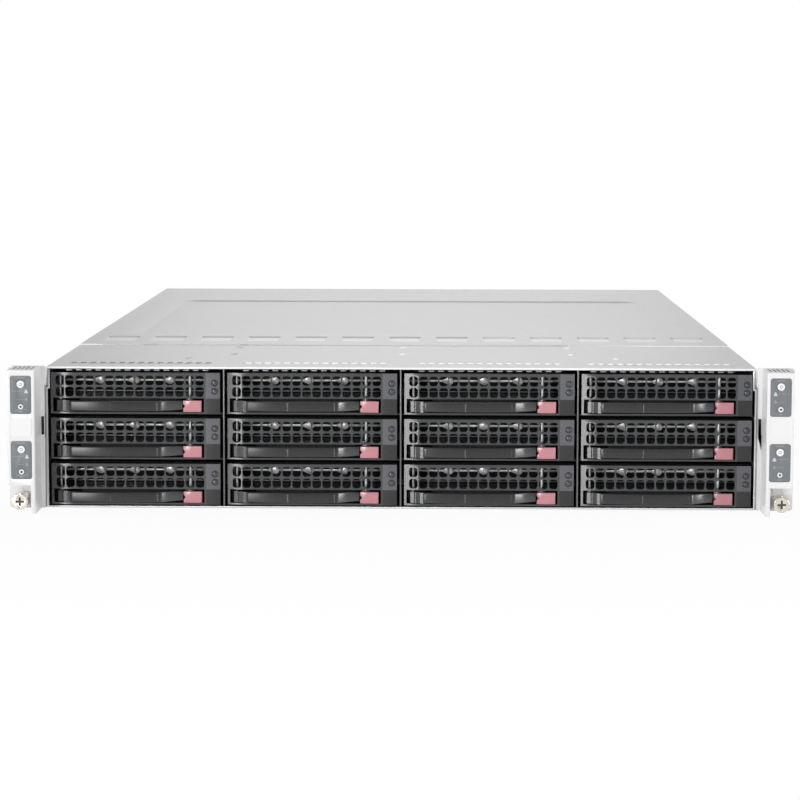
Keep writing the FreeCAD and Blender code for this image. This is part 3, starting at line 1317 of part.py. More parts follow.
def rack_screw():
    """Captive thumb screw: a large slotted and cross-recessed head, a neck, a shoulder and a shank."""
    x, z = RACK_HOLE_X, RACK_HOLE_HEIGHT
    face, neck_start = -SCREW_FACE, SCREW_HEAD_LENGTH - SCREW_FACE
    neck_end = -FLANGE_SHEET - SCREW_NECK_GAP
    head = rod(Vec(x, face, z), SCREW_HEAD_RADIUS, SCREW_HEAD_LENGTH, Y_AXIS)
    rims = round_rims(head, Y_AXIS, face) + round_rims(head, Y_AXIS, neck_start)
    head = head.makeFillet(SCREW_HEAD_EDGE, rims)
    neck = rod(Vec(x, neck_start, z), SCREW_NECK_RADIUS, neck_end - neck_start, Y_AXIS)
    shoulder = rod(Vec(x, neck_start, z), SCREW_SHOULDER_RADIUS, SCREW_SHOULDER_OUT - neck_start, Y_AXIS)
    shank = rod(Vec(x, 0, z), SCREW_SHANK_RADIUS, SCREW_SHANK_OUT, Y_AXIS)
    arm, half, slot = SCREW_CROSS_HALF, SCREW_CROSS_WIDTH / 2, SCREW_SLOT_WIDTH / 2
    reach = SCREW_HEAD_RADIUS + 1
    recesses = [
        box(x - arm, x + arm, face - 1, face + SCREW_CROSS_DEPTH, z - half, z + half),
        box(x - half, x + half, face - 1, face + SCREW_CROSS_DEPTH, z - arm, z + arm),
        box(x - slot, x + slot, face - 1, face + SCREW_SLOT_DEPTH, z - reach, z + reach),
    ]
    return joined([head, neck, shoulder, shank]).cut(recesses)


# ---------------------------------------------------------------- assembly


def frame_nodes():
    """The fixed frame of the machine and its lift-off cover."""
    ear = right_ear()
    return {
        "chassis": chassis(),
        "drive_cage": drive_cage(),
        "front_cover": front_cover(),
        "top_cover": top_cover(),
        "backplane": backplane(),
        "fan_bank": fan_bank(),
        "right_ear": ear,
        "left_ear": [mirrored(solid) for solid in ear],
    }


def ear_fittings():
    """Rack screws and panel buttons, the left ones mirrored from the right."""
    made = {"rack_screw": rack_screw()}
    for kind, index, z, radius in button_places():
        made[f"{kind}_button_{index}"] = panel_button(z, radius)
    right = {f"right_{name}": [solid] for name, solid in made.items()}
    left = {f"left_{name}": [mirrored(solid)] for name, solid in made.items()}
    return {**right, **left}


def tray_nodes():
    """A tray, its lever and its latch in every bay, numbered from the lower left."""
    parts = {"drive_tray": drive_tray(), "tray_lever": tray_lever(), "tray_latch": tray_latch()}
    made = {}
    for row in range(ROWS):
        for column in range(COLUMNS):
            bay = row * COLUMNS + column + 1
            place = (column_x(column), TRAY_FRONT, row_z(row))
            for name, solids in parts.items():
                made[f"{name}_{bay:02d}"] = [moved(solid, *place) for solid in solids]
    return made


def module_nodes():
    """Compute sleds in both banks and power supplies between them, on two levels."""
    sled, supply = compute_sled(), power_supply()
    made = {}
    for index, level in enumerate(("lower", "upper")):
        z = SHEET + SHELF_GAP + index * MODULE_PITCH
        made[f"{level}_power_supply"] = [moved(solid, 0, BODY_DEPTH - SUPPLY_LENGTH, z) for solid in supply]
        made[f"{level}_left_sled"] = [moved(solid, -SLED_X, SLED_FRONT, z) for solid in sled]
        made[f"{level}_right_sled"] = [moved(solid, SLED_X, SLED_FRONT, z) for solid in sled]
    return made


def write_parts():
    os.makedirs("parts", exist_ok=True)
    nodes = {**frame_nodes(), **ear_fittings(), **tray_nodes(), **module_nodes()}
    for name, solids in nodes.items():
        whole = Part.makeCompound([solid.translated(ORIGIN_SHIFT) for solid in solids])
        whole.exportStep(f"parts/{name}.step")


write_parts()
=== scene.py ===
"""Looks of a 2U rack server with twelve drive trays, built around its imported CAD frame."""

import bpy
import bmesh
import math
from mathutils import Matrix, Vector


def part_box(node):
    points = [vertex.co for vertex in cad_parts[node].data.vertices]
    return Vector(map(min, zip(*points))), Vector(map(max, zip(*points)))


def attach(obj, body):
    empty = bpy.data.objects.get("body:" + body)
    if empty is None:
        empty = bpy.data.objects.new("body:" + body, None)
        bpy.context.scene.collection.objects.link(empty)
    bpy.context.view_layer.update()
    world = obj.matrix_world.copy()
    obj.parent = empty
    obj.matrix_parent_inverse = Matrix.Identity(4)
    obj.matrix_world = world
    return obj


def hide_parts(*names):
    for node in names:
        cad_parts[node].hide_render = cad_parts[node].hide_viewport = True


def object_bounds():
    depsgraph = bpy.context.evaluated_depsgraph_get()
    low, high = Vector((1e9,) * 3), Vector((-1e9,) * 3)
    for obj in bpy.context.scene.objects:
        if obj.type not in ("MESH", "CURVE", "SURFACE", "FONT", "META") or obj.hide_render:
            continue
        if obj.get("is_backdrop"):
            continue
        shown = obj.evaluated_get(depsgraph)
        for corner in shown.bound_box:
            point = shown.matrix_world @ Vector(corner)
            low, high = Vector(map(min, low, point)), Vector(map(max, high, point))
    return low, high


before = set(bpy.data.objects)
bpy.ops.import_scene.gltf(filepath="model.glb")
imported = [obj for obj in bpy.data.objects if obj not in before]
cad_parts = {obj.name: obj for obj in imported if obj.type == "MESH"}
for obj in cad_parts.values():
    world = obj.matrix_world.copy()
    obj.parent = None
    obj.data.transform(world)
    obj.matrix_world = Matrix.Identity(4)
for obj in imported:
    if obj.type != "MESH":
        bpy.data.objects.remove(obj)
cad_low, cad_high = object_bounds()

# ---------------------------------------------------------------- room
# A white table top that runs on into a white backdrop, as in a product studio. Both show white to
# the camera and in shiny metal, the room in front is dimmer, and the table keeps a faint shadow.

WORLD_LEVEL = 0.50
ROOM_LEVEL = 0.42
BACKDROP_FROM = (-0.75, 0.25)
BACKDROP_HALF = (0.03, 0.20)
BACKDROP_SIDES = 0.74
FLOOR_SIZE = 12.0
FLOOR_PAINT = 0.9
FLOOR_SHOWN = (0.93, 1.0)
SHADOW_REACH = (0.42, 0.8)

scene = bpy.context.scene
scene.view_settings.view_transform = "Standard"


def node(tree, kind, **settings):
    """A new shader node with its settings, and its inputs where the setting names one."""
    made = tree.nodes.new(kind)
    for key, value in settings.items():
        if key in made.inputs:
            made.inputs[key].default_value = value
        else:
            setattr(made, key, value)
    return made


def camera_and_mirrored(tree):
    """Two sockets: 1 for the camera's own rays, and 1 for rays that a shiny or clear surface sends out."""
    path = node(tree, "ShaderNodeLightPath")
    both = node(tree, "ShaderNodeMath", operation="MAXIMUM")
    tree.links.new(path.outputs["Is Glossy Ray"], both.inputs[0])
    tree.links.new(path.outputs["Is Transmission Ray"], both.inputs[1])
    return path.outputs["Is Camera Ray"], both.outputs[0]


def blend(tree, share, low, high):
    """Between two levels by a share, where each is a number or a socket."""
    made = node(tree, "ShaderNodeMix", data_type="FLOAT")
    for socket, value in zip(made.inputs[:1] + made.inputs[2:4], (share, low, high)):
        if isinstance(value, (int, float)):
            socket.default_value = value
        else:
            tree.links.new(value, socket)
    return made.outputs[0]


def ramp(tree, value, span, levels=(0.0, 1.0), way="LINEAR"):
    """A number that runs from one level to the other while a socket's value crosses a span."""
    made = node(tree, "ShaderNodeMapRange", interpolation_type=way)
    made.inputs["From Min"].default_value, made.inputs["From Max"].default_value = span
    made.inputs["To Min"].default_value, made.inputs["To Max"].default_value = levels
    tree.links.new(value, made.inputs["Value"])
    return made.outputs[0]


world = bpy.data.worlds.new("studio")
scene.world = world
world.use_nodes = True
tree = world.node_tree
tree.nodes.clear()
camera_ray, mirrored = camera_and_mirrored(tree)
way = node(tree, "ShaderNodeTexCoord")
parts = node(tree, "ShaderNodeSeparateXYZ")
tree.links.new(way.outputs["Generated"], parts.inputs[0])
behind = ramp(tree, parts.outputs["Y"], BACKDROP_FROM, way="SMOOTHSTEP")
beside = node(tree, "ShaderNodeMath", operation="ABSOLUTE")
tree.links.new(parts.outputs["X"], beside.inputs[0])
backdrop = ramp(tree, beside.outputs[0], BACKDROP_HALF, (1.0, BACKDROP_SIDES), "SMOOTHSTEP")
room = blend(tree, behind, ROOM_LEVEL, backdrop)
level = blend(tree, camera_ray, blend(tree, mirrored, WORLD_LEVEL, room), 1.0)
sky = node(tree, "ShaderNodeBackground", Color=(1, 1, 1, 1))
tree.links.new(level, sky.inputs["Strength"])
out = node(tree, "ShaderNodeOutputWorld")
tree.links.new(sky.outputs[0], out.inputs[0])

table_white = bpy.data.materials.new("table_white")
table_white.use_nodes = True
tree = table_white.node_tree
tree.nodes.clear()
painted = node(tree, "ShaderNodeBsdfDiffuse", Color=(FLOOR_PAINT, FLOOR_PAINT, FLOOR_PAINT, 1))
glow = node(tree, "ShaderNodeEmission", Color=(1, 1, 1, 1), Strength=1.0)
place = node(tree, "ShaderNodeTexCoord")
away = node(tree, "ShaderNodeVectorMath", operation="LENGTH")
tree.links.new(place.outputs["Object"], away.inputs[0])
share = node(tree, "ShaderNodeMath", operation="MULTIPLY")
camera_ray, mirrored = camera_and_mirrored(tree)
tree.links.new(blend(tree, camera_ray, mirrored, 1.0), share.inputs[0])
tree.links.new(ramp(tree, away.outputs["Value"], SHADOW_REACH, FLOOR_SHOWN), share.inputs[1])
mix = node(tree, "ShaderNodeMixShader")
tree.links.new(share.outputs[0], mix.inputs[0])
tree.links.new(painted.outputs[0], mix.inputs[1])
tree.links.new(glow.outputs[0], mix.inputs[2])
out = node(tree, "ShaderNodeOutputMaterial")
tree.links.new(mix.outputs[0], out.inputs[0])

bm = bmesh.new()
bmesh.ops.create_grid(bm, x_segments=2, y_segments=2, size=FLOOR_SIZE)
mesh = bpy.data.meshes.new("table_top")
bm.to_mesh(mesh)
bm.free()
mesh.materials.append(table_white)
table_top = bpy.data.objects.new("table_top", mesh)
scene.collection.objects.link(table_top)
table_top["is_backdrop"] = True

# ---------------------------------------------------------------- lamps
# Soft boxes: weak ones above and behind, a far bank low on the left whose light runs along the
# black fronts, and two at the sides that light the white ears.

FRONT_MIDDLE = (0, cad_low.y, ((cad_low + cad_high) / 2).z)
LAMPS = (
    ("overhead", (0, 0.0, 1.2), (0, 0.0, 0.09), (0.7, 0.7), 4),
    ("back_light", (0, 2.6, 0.95), (0, 0, 0.09), (1.0, 0.6), 1.9),
    ("left_bank", (-2.35, -5.60, 0.56), (-0.05, -0.36, 0.05), (1.0, 1.1), 92),
    ("left_side", (-2.6, -1.4, 0.35), (0.2, -0.36, 0.05), (0.5, 0.6), 31),
    ("right_fill", (1.9, -1.5, 0.35), FRONT_MIDDLE, (0.6, 0.7), 17),
)

for name, place, aim, size, power in LAMPS:
    lamp = bpy.data.lights.new(name, "AREA")
    lamp.shape = "RECTANGLE"
    lamp.size, lamp.size_y = size
    lamp.energy = power
    box = bpy.data.objects.new(name, lamp)
    box.location = place
    box.rotation_euler = (Vector(aim) - Vector(place)).to_track_quat("-Z", "Y").to_euler()
    scene.collection.objects.link(box)

# ---------------------------------------------------------------- camera
# A long lens a little above the server, aimed slightly down and turned a trace to the left, so
# that the front fills the width and the lid shows as a shallow band above it.

CAMERA_PLACE = (0.0217, -1.9602, 0.2414)
CAMERA_LENS = 118.0
CAMERA_YAW = 0.0138
CAMERA_PITCH = 0.1081
CAMERA_ROLL = 0.0023

camera = bpy.data.objects.new("camera", bpy.data.cameras.new("camera"))
camera.data.lens = CAMERA_LENS
camera.data.sensor_width = 36.0
camera.location = CAMERA_PLACE
turn = Matrix.Rotation(CAMERA_YAW, 3, "Z") @ Matrix.Rotation(math.pi / 2 - CAMERA_PITCH, 3, "X")
camera.rotation_euler = (turn @ Matrix.Rotation(CAMERA_ROLL, 3, "Z")).to_euler()
scene.collection.objects.link(camera)
scene.camera = camera

# ---------------------------------------------------------------- chassis
# A tub folded from 1.2 mm galvanised sheet, with walls and shelves that make the bays at the
# rear, and three turned studs on each side that slide rails hook on.

MM = 0.001
WELD = 0.002 * MM
SAME_PLANE = 0.002
STEEL = (0.60, 0.605, 0.62)
SHEET_EDGE = 0.18
SOFT_ANGLE = math.radians(35)
FLOOR_EDGE = 2.5
FLOOR_EDGE_DEEP = 40.0
FACING_FRONT = -0.7


def finish(name, colour, rough, metal=0.0, wander=0.06, grain=(1, 1, 1), fine=1400.0, depth=0.01,
           patch=16.0, unevenness=0.08, **sockets):
    """A procedural finish: fine grain in gloss and relief, and slow patches in the colour.

    grain stretches the fine pattern along the axes, fine and patch are marks per metre, depth is the
    relief in millimetres, and wander and unevenness are how far colour and roughness stray. A brushed
    or drawn finish, which has Anisotropic among its sockets, runs round the upright axis.
    """
    material = bpy.data.materials.new(name)
    material.use_nodes = True
    tree = material.node_tree
    shader = tree.nodes["Principled BSDF"]
    shader.inputs["Metallic"].default_value = metal
    for key, value in sockets.items():
        shader.inputs[key.replace("_", " ")].default_value = value
    if "Anisotropic" in sockets:
        run_round = node(tree, "ShaderNodeTangent", direction_type="RADIAL", axis="Z")
        tree.links.new(run_round.outputs[0], shader.inputs["Tangent"])
    place = node(tree, "ShaderNodeTexCoord")
    run = node(tree, "ShaderNodeMapping", Scale=grain)
    close = node(tree, "ShaderNodeTexNoise", Scale=fine, Detail=4.0, Roughness=0.65)
    slow = node(tree, "ShaderNodeTexNoise", Scale=patch, Detail=5.0, Roughness=0.55)
    tree.links.new(place.outputs["Object"], run.inputs["Vector"])
    tree.links.new(run.outputs[0], close.inputs["Vector"])
    tree.links.new(place.outputs["Object"], slow.inputs["Vector"])
    tint = node(tree, "ShaderNodeMix", data_type="RGBA")
    tint.inputs[6].default_value = (*[c * (1 - wander) for c in colour], 1)
    tint.inputs[7].default_value = (*[min(1, c * (1 + wander)) for c in colour], 1)
    tree.links.new(slow.outputs["Fac"], tint.inputs[0])
    tree.links.new(tint.outputs[2], shader.inputs["Base Color"])
    levels = max(0.02, rough - unevenness), min(1, rough + unevenness)
    tree.links.new(ramp(tree, close.outputs["Fac"], (0.25, 0.75), levels), shader.inputs["Roughness"])
    relief = node(tree, "ShaderNodeBump", Strength=1.0, Distance=depth * MM)
    tree.links.new(close.outputs["Fac"], relief.inputs["Height"])
    tree.links.new(relief.outputs[0], shader.inputs["Normal"])
    return material


def piece(name, bm, finishes, body, stands_for=(), edge=0.0, steps=2):
    """Link a finished bmesh as a piece: its finishes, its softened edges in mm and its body."""
    mesh = bpy.data.meshes.new(name)
    bm.to_mesh(mesh)
    bm.free()
    for material in finishes if isinstance(finishes, tuple) else (finishes,):
        mesh.materials.append(material)
    mesh.polygons.foreach_set("use_smooth", [True] * len(mesh.polygons))
    made = bpy.data.objects.new(name, mesh)
    scene.collection.objects.link(made)
    if edge:
        soft = made.modifiers.new("soft_edges", "BEVEL")
        soft.width, soft.segments = edge * MM, steps
        soft.limit_method, soft.angle_limit = "ANGLE", SOFT_ANGLE
        soft.harden_normals = True
    else:
        mesh.set_sharp_from_angle(angle=SOFT_ANGLE)
    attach(made, body)
    if stands_for:
        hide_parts(*stands_for)
    return made


def solids_of(cad_node):
    """A merged copy of a CAD node's mesh, and its closed solids as (low corner, high corner, faces)."""
    bm = bmesh.new()
    bm.from_mesh(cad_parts[cad_node].data)
    bmesh.ops.remove_doubles(bm, verts=bm.verts, dist=WELD)
    found, seen = [], set()
    for first in bm.faces:
        if first in seen:
            continue
        seen.add(first)
        faces, queue = [], [first]
        while queue:
            face = queue.pop()
            faces.append(face)
            for edge in face.edges:
                for other in edge.link_faces:
                    if other not in seen:
                        seen.add(other)
                        queue.append(other)
        points = [v.co for face in faces for v in face.verts]
        low = Vector([min(p[i] for p in points) for i in range(3)])
        high = Vector([max(p[i] for p in points) for i in range(3)])
        found.append((low, high, faces))
    return bm, found


def cut_from(cad_node, wanted=lambda low, high: True):
    """A copy of those of a CAD node's solids that are wanted, with its flat faces whole again."""
    bm, found = solids_of(cad_node)
    spare = [face for low, high, faces in found if not wanted(low, high) for face in faces]
    bmesh.ops.delete(bm, geom=spare, context="FACES")
    bmesh.ops.dissolve_limit(bm, angle_limit=SAME_PLANE, verts=bm.verts, edges=bm.edges)
    return bm


zinc = finish("zinc_plated_sheet", STEEL, 0.36, metal=1.0, grain=(0.12, 1, 1), fine=1600, depth=0.004)
painted_highlight_edge = finish("painted_highlight_sheet", (0.90, 0.90, 0.91), 0.40, metal=0.1, fine=1500, depth=0.003)
bm = cut_from("chassis")
# The floor's front edge faces take a near white finish: a painted highlight along the bottom strip.
for face in bm.faces:
    spot = face.calc_center_median()
    at_front = face.normal.y < FACING_FRONT and spot.y < cad_low.y + FLOOR_EDGE_DEEP * MM
    if at_front and spot.z < FLOOR_EDGE * MM:
        face.material_index = 1
piece("chassis_tub", bm, (zinc, painted_highlight_edge), "server_frame", ["chassis"], SHEET_EDGE, 1)

# ---------------------------------------------------------------- drive cage
# Three upright dividers of bare sheet, with shelves and runner ribs spot-welded between them in each
# column. The dividers' sheet is darkened and the shelves and ribs are near black: painted shade for
# the dim gaps between the trays. The dividers' cut front edges catch the light between the trays.

CAGE_EDGE = 0.12


def sized(**spans):
    """A test for solids whose size in millimetres lies in the span given for each axis."""
    def wanted(low, high):
        size = (high - low) / MM
        return all(least < getattr(size, axis) < most for axis, (least, most) in spans.items())
    return wanted


def over(least):
    """The span of all sizes above one."""
    return least, math.inf


def other_than(*tests):
    """A test for the solids that pass none of these."""
    return lambda low, high: not any(test(low, high) for test in tests)


is_divider = sized(z=over(60))
# The dividers' sheet is darkened and the shelves are near black: painted shade.
divider_painted_shade = finish("divider_sheet_painted_shade", (0.17, 0.17, 0.165), 0.40, metal=1.0, grain=(1, 0.1, 1),
                    fine=1500, depth=0.005)
shelf_painted_shade = finish("cage_shelf_painted_shade", (0.055, 0.055, 0.06), 0.45, metal=0.6, grain=(1, 0.1, 1),
                    fine=1500, depth=0.005)
piece("cage_dividers", cut_from("drive_cage", is_divider), divider_painted_shade, "server_frame",
      ["drive_cage"], CAGE_EDGE, 1)
piece("cage_shelves", cut_from("drive_cage", other_than(is_divider)), shelf_painted_shade, "server_frame")

# ---------------------------------------------------------------- covers
# Two satin steel lids. The front one is riveted on and pierced above the trays, the rear one lifts
# off and has a sunk panel and a row of stamped pads. Edges, rivets, seam and pad slopes are painted
# paler or darker by where they stand: painted highlights and painted shade.

COVER = (0.43, 0.425, 0.43)
SATIN, BRIGHT, DULL, PAD, PAINTED_PALE = range(5)
# Along the seam, the rear lid's front edge is painted: a highlight beyond these two x, shade in the two spans
# below, and pale elsewhere.
SEAM_BRIGHT = 110.0
SEAM_WHITE = -203.0
SEAM_SHADE_SPANS = ((-175.0, -165.0), (-110.5, -104.5))
EDGES_DEEP = 28
LIP_DEEP = 3
LIP_ROUND = 1.0
# Vent edges left of DULL_VENTS are painted shade and the rest painted highlight; rivets right of
# BRIGHT_RIVETS are painted highlight and the rest painted shade.
DULL_VENTS = -110.0
BRIGHT_RIVETS = -60.0
RIVET_BASE = 87.45
LIP_HIGH = 2
# Pad floors are painted brighter, and pad slopes are painted pale, bright or dark by side and by x: painted
# highlight and painted shade.
PAD_FLOOR = (87.0, 87.2)
PAD_SLOPE = (0.8, 0.95)
PAD_LEVEL = 0.99
PAD_TURNED = 0.4
PAD_BACK = -130.0
PALE_PADS = 50.0
PAD_PAINTED_LIGHT = 1.24
LID_SHARP = math.radians(60)


def rear_lid_finish(spot, normal, front):
    """Which finish a face of the rear lid has: painted highlights and painted shade by its middle, its normal
    and the lid's front edge.
    """
    x = spot.x / MM
    if normal.y < FACING_FRONT and spot.y < front + EDGES_DEEP * MM:
        if x > SEAM_BRIGHT or x < SEAM_WHITE:
            return BRIGHT
        return DULL if any(start < x < end for start, end in SEAM_SHADE_SPANS) else PAINTED_PALE
    if PAD_SLOPE[0] < normal.z < PAD_SLOPE[1] and spot.z > PAD_FLOOR[0] * MM:
        if spot.y < PAD_BACK * MM:
            if normal.y > -PAD_TURNED:
                return SATIN
            return PAINTED_PALE if x > PALE_PADS else DULL
        if normal.y < -PAD_TURNED:
            return PAINTED_PALE
        if abs(normal.x) > PAD_TURNED:
            return BRIGHT if x > 0 else PAINTED_PALE
        return SATIN
    if normal.z > PAD_LEVEL and PAD_FLOOR[0] * MM < spot.z < PAD_FLOOR[1] * MM:
        return PAD
    return SATIN


def front_lid_finish(spot, normal, front):
    """Which finish a face of the front lid has: painted highlights and painted shade by its middle, its
    normal and the lid's front edge.
    """
    x = spot.x / MM
    if normal.y < FACING_FRONT and spot.y < front + EDGES_DEEP * MM:
        return DULL if front + LIP_DEEP * MM < spot.y and x < DULL_VENTS else BRIGHT
    if spot.y < front + LIP_ROUND * MM and spot.z > RIVET_BASE * MM - LIP_HIGH * MM:
        return BRIGHT
    if spot.z > RIVET_BASE * MM:
        return BRIGHT if x > BRIGHT_RIVETS else DULL
    return SATIN


# Painted finishes for the lids: a dull one for painted shade, and a pale one and brighter pad floors for
# painted highlight.
painted_shade_edge = finish("painted_shade_sheet", (0.50, 0.50, 0.505), 0.45, metal=0.2, fine=1500, depth=0.003)
painted_pale_edge = finish("painted_pale_sheet", (0.66, 0.66, 0.665), 0.45, metal=0.2, fine=1500, depth=0.003)
satin = finish("satin_cover_sheet", COVER, 0.42, metal=1.0, wander=0.025, grain=(0.06, 1, 1), fine=1300,
               depth=0.003, patch=9.0, unevenness=0.06)
pad_painted_highlight = finish("pad_floor_painted_light", [c * PAD_PAINTED_LIGHT for c in COVER], 0.42, metal=1.0, wander=0.025,
                   grain=(0.06, 1, 1), fine=1300, depth=0.003)
for cad_node, body, finish_of in (("front_cover", "server_frame", front_lid_finish),
                                  ("top_cover", "top_cover", rear_lid_finish)):
    bm = cut_from(cad_node)
    for x in (SEAM_BRIGHT, SEAM_WHITE, *SEAM_SHADE_SPANS[0], *SEAM_SHADE_SPANS[1]):
        bmesh.ops.bisect_plane(bm, geom=bm.verts[:] + bm.edges[:] + bm.faces[:],
                               plane_co=(x * MM, 0, 0), plane_no=(1, 0, 0))
    low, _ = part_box(cad_node)
    for face in bm.faces:
        face.material_index = finish_of(face.calc_center_median(), face.normal, low.y)
    lid = piece(cad_node + "_sheet", bm, (satin, painted_highlight_edge, painted_shade_edge, pad_painted_highlight, painted_pale_edge), body,
                [cad_node])
    lid.data.set_sharp_from_angle(angle=LID_SHARP)
    flat = lid.modifiers.new("flat_faces", "WEIGHTED_NORMAL")
    flat.keep_sharp = True
    flat.weight = 100

# ---------------------------------------------------------------- vent rims
# Each vent hole in the front lid is pierced with a short rim of the same sheet pressed up behind
# it. The rim's front leans back, so that it is seen as a light line over the hole.

COLUMN_MIDDLES = (-162.2, -53.3, 54.85, 160.3)
VENT_PITCH = 6.0
VENTS = 15
RIM_WIDE = 3.5
RIM_THICK = 0.9
RIM_HIGH = 0.50
RIM_LEAN = 0.8
RIM_FRONT = -332.95
RIM_EDGE = 0.12
COVER_TOP = 87.4
SUNK = 0.1


def block(bm, low, high):
    """A closed box between two corners."""
    made = bmesh.ops.create_cube(bm, size=1)["verts"]
    low, high = Vector(low), Vector(high)
    bmesh.ops.scale(bm, vec=high - low, verts=made)
    bmesh.ops.translate(bm, vec=(low + high) / 2, verts=made)
    return made


def placed(bm, origin=(0, 0, 0)):
    """Bring a piece drawn in millimetres round its own origin to its place in the frame, in metres."""
    bmesh.ops.remove_doubles(bm, verts=bm.verts, dist=0.0005)
    bmesh.ops.recalc_face_normals(bm, faces=bm.faces)
    bmesh.ops.scale(bm, vec=(MM, MM, MM), verts=bm.verts)
    bmesh.ops.translate(bm, vec=origin, verts=bm.verts)
    return bm


def row(middle):
    """Where the vents of one column stand along x."""
    return [middle + (i - (VENTS - 1) / 2) * VENT_PITCH for i in range(VENTS)]


vent_rim_painted_shade = finish("painted_shade_vent_rim", (0.17, 0.17, 0.175), 0.45, metal=0.2, fine=1500, depth=0.002)
# Rims over the first column are painted dark, a painted shade; the others take the near white painted
# highlight.
for column, middle in enumerate(COLUMN_MIDDLES):
    bm = bmesh.new()
    for x in row(middle):
        made = block(bm, (x - RIM_WIDE / 2, RIM_FRONT, COVER_TOP - SUNK),
                     (x + RIM_WIDE / 2, RIM_FRONT + RIM_THICK, COVER_TOP + RIM_HIGH))
        for dot in made:
            if dot.co.z > COVER_TOP and dot.co.y < RIM_FRONT + SUNK:
                dot.co.y += RIM_THICK * RIM_LEAN
    piece(f"vent_rims_{column + 1}", placed(bm), vent_rim_painted_shade if middle < DULL_VENTS else painted_highlight_edge,
          "server_frame", edge=RIM_EDGE)

# ---------------------------------------------------------------- contact fingers
# A strip of bright spring steel is clipped under the front lid's lip. Its rolled fingers, one for
# each vent, bear on the trays below and close the gap to radio noise.

FINGER_LONG = 3.4
FINGER_ROUND = 0.75
FINGER_FRONT = -356.6
FINGER_TOP = 86.0

finger_steel = finish("spring_finger", (0.62, 0.62, 0.62), 0.30, metal=1.0, fine=1500, depth=0.003)
bm = bmesh.new()
for middle in COLUMN_MIDDLES:
    for x in row(middle):
        made = bmesh.ops.create_cone(bm, cap_ends=True, segments=16, radius1=FINGER_ROUND,
                                     radius2=FINGER_ROUND, depth=FINGER_LONG)["verts"]
        bmesh.ops.rotate(bm, cent=(0, 0, 0), verts=made, matrix=Matrix.Rotation(math.pi / 2, 3, "Y"))
        bmesh.ops.translate(bm, vec=(x, FINGER_FRONT + FINGER_ROUND, FINGER_TOP - FINGER_ROUND), verts=made)
bmesh.ops.scale(bm, vec=(MM, MM, MM), verts=bm.verts)
piece("contact_fingers", bm, finger_steel, "server_frame")

# ---------------------------------------------------------------- tray bezels
# Each tray's front is one moulding in charcoal nylon: a grille over a recess for the lever, and a
# lamp block at its right end. The face falls back towards its left end in a shallow curve.

TRAYS = 12
TRAY_WIDTH = 104.5
TRAY_HEIGHT = 25.4
BEZEL_DEPTH = 22.0
BEZEL_WALL = 1.5
BEZEL_WEB = 1.1
BEZEL_EDGE = 0.16
GRILLE_THICK = 2.2
GRILLE_BOTTOM = 9.6
GRILLE_LEFT = 3.1
GRILLE_RIGHT = 9.9
HOLES = 15
HOLE_HIGH = 5.85
HOLE_BAR = 0.9
HOLE_RAIL = 1.2
HOLE_SILL = 1.05
HOLE_ROUND = 1.75
RECESS_WALL = (-35.2, 26.4, 12.0, 13.1)
OVERLAP = 0.2
FALL_SLOPE = 0.23
FALL_CURVE = 0.45
FALL_FLAT = 8.8
BLOCK_BULGE = 0.2
BLOCK_DEEP = 0.4
BLOCK_SLACK = 0.1
ON_FACE = 0.01
LAMP_FROM_RIGHT = 3.3
LAMPS_BELOW_TOP = (6.2, 11.3)
LAMP_RING = 2.1
LAMP_LENS = 1.45
LAMP_OUT = -0.17
RING_OUTLINE = ((LAMP_LENS, 0.3), (LAMP_LENS, -0.1), (LAMP_LENS + 0.2, -0.3), (LAMP_RING - 0.2, -0.3),
                (LAMP_RING, -0.1), (LAMP_RING, 0.3), (LAMP_LENS, 0.3))
LENS_OUTLINE = ((0, -0.28), (0.7, -0.24), (1.2, -0.12), (LAMP_LENS + 0.03, 0.1), (LAMP_LENS + 0.03, 1.6),
                (0, 1.6))
LEVER_BOTTOM = 1.5
LAMP_PROUD = 0.5

half = TRAY_WIDTH / 2
block_left = half - GRILLE_RIGHT
bulge_xs = [half - GRILLE_RIGHT * i / 6 for i in range(1, 6)]
hole_wide = (TRAY_WIDTH - GRILLE_LEFT - GRILLE_RIGHT + HOLE_BAR) / HOLES - HOLE_BAR
hole_lefts = [GRILLE_LEFT - half + i * (hole_wide + HOLE_BAR) for i in range(HOLES)]
hole_lows = [GRILLE_BOTTOM + HOLE_SILL, GRILLE_BOTTOM + HOLE_SILL + HOLE_HIGH + HOLE_RAIL]
cell_xs = [BEZEL_WALL - half, *[x - HOLE_BAR / 2 for x in hole_lefts[1:]], block_left + BEZEL_WEB]
cell_zs = [GRILLE_BOTTOM, hole_lows[1] - HOLE_RAIL / 2, TRAY_HEIGHT - BEZEL_WEB]


def tray_place(number):
    """Where a tray's own origin stands: the middle of its face, at its underside."""
    low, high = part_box(f"drive_tray_{number:02d}")
    lever_low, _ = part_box(f"tray_lever_{number:02d}")
    return Vector(((low.x + high.x) / 2, low.y + LAMP_PROUD * MM, lever_low.z - LEVER_BOTTOM * MM))


def turned(bm, outline, centre, axis=(0, 1, 0), steps=32):
    """A ring or knob turned from an outline of (radius, distance along the axis) points."""
    closed = outline[0] == outline[-1]
    points = outline[:-1] if closed else outline
    side = Vector((0, 0, 1)) if axis[1] else Vector((1, 0, 0))
    dots = [bm.verts.new(Vector(centre) + side * r + Vector(axis) * d) for r, d in points]
    pairs = list(zip(dots, dots[1:])) + ([(dots[-1], dots[0])] if closed else [])
    lines = [bm.edges.new(pair) for pair in pairs]
    bmesh.ops.spin(bm, geom=dots + lines, cent=centre, axis=axis, angle=math.tau, steps=steps, use_merge=True)


def drawn_out(bm, faces, way):
    """Draw faces out along a vector into solids, and give the faces at the far end."""
    made = bmesh.ops.extrude_face_region(bm, geom=faces)["geom"]
    bmesh.ops.translate(bm, vec=way, verts=[part for part in made if isinstance(part, bmesh.types.BMVert)])
    return [part for part in made if isinstance(part, bmesh.types.BMFace)]


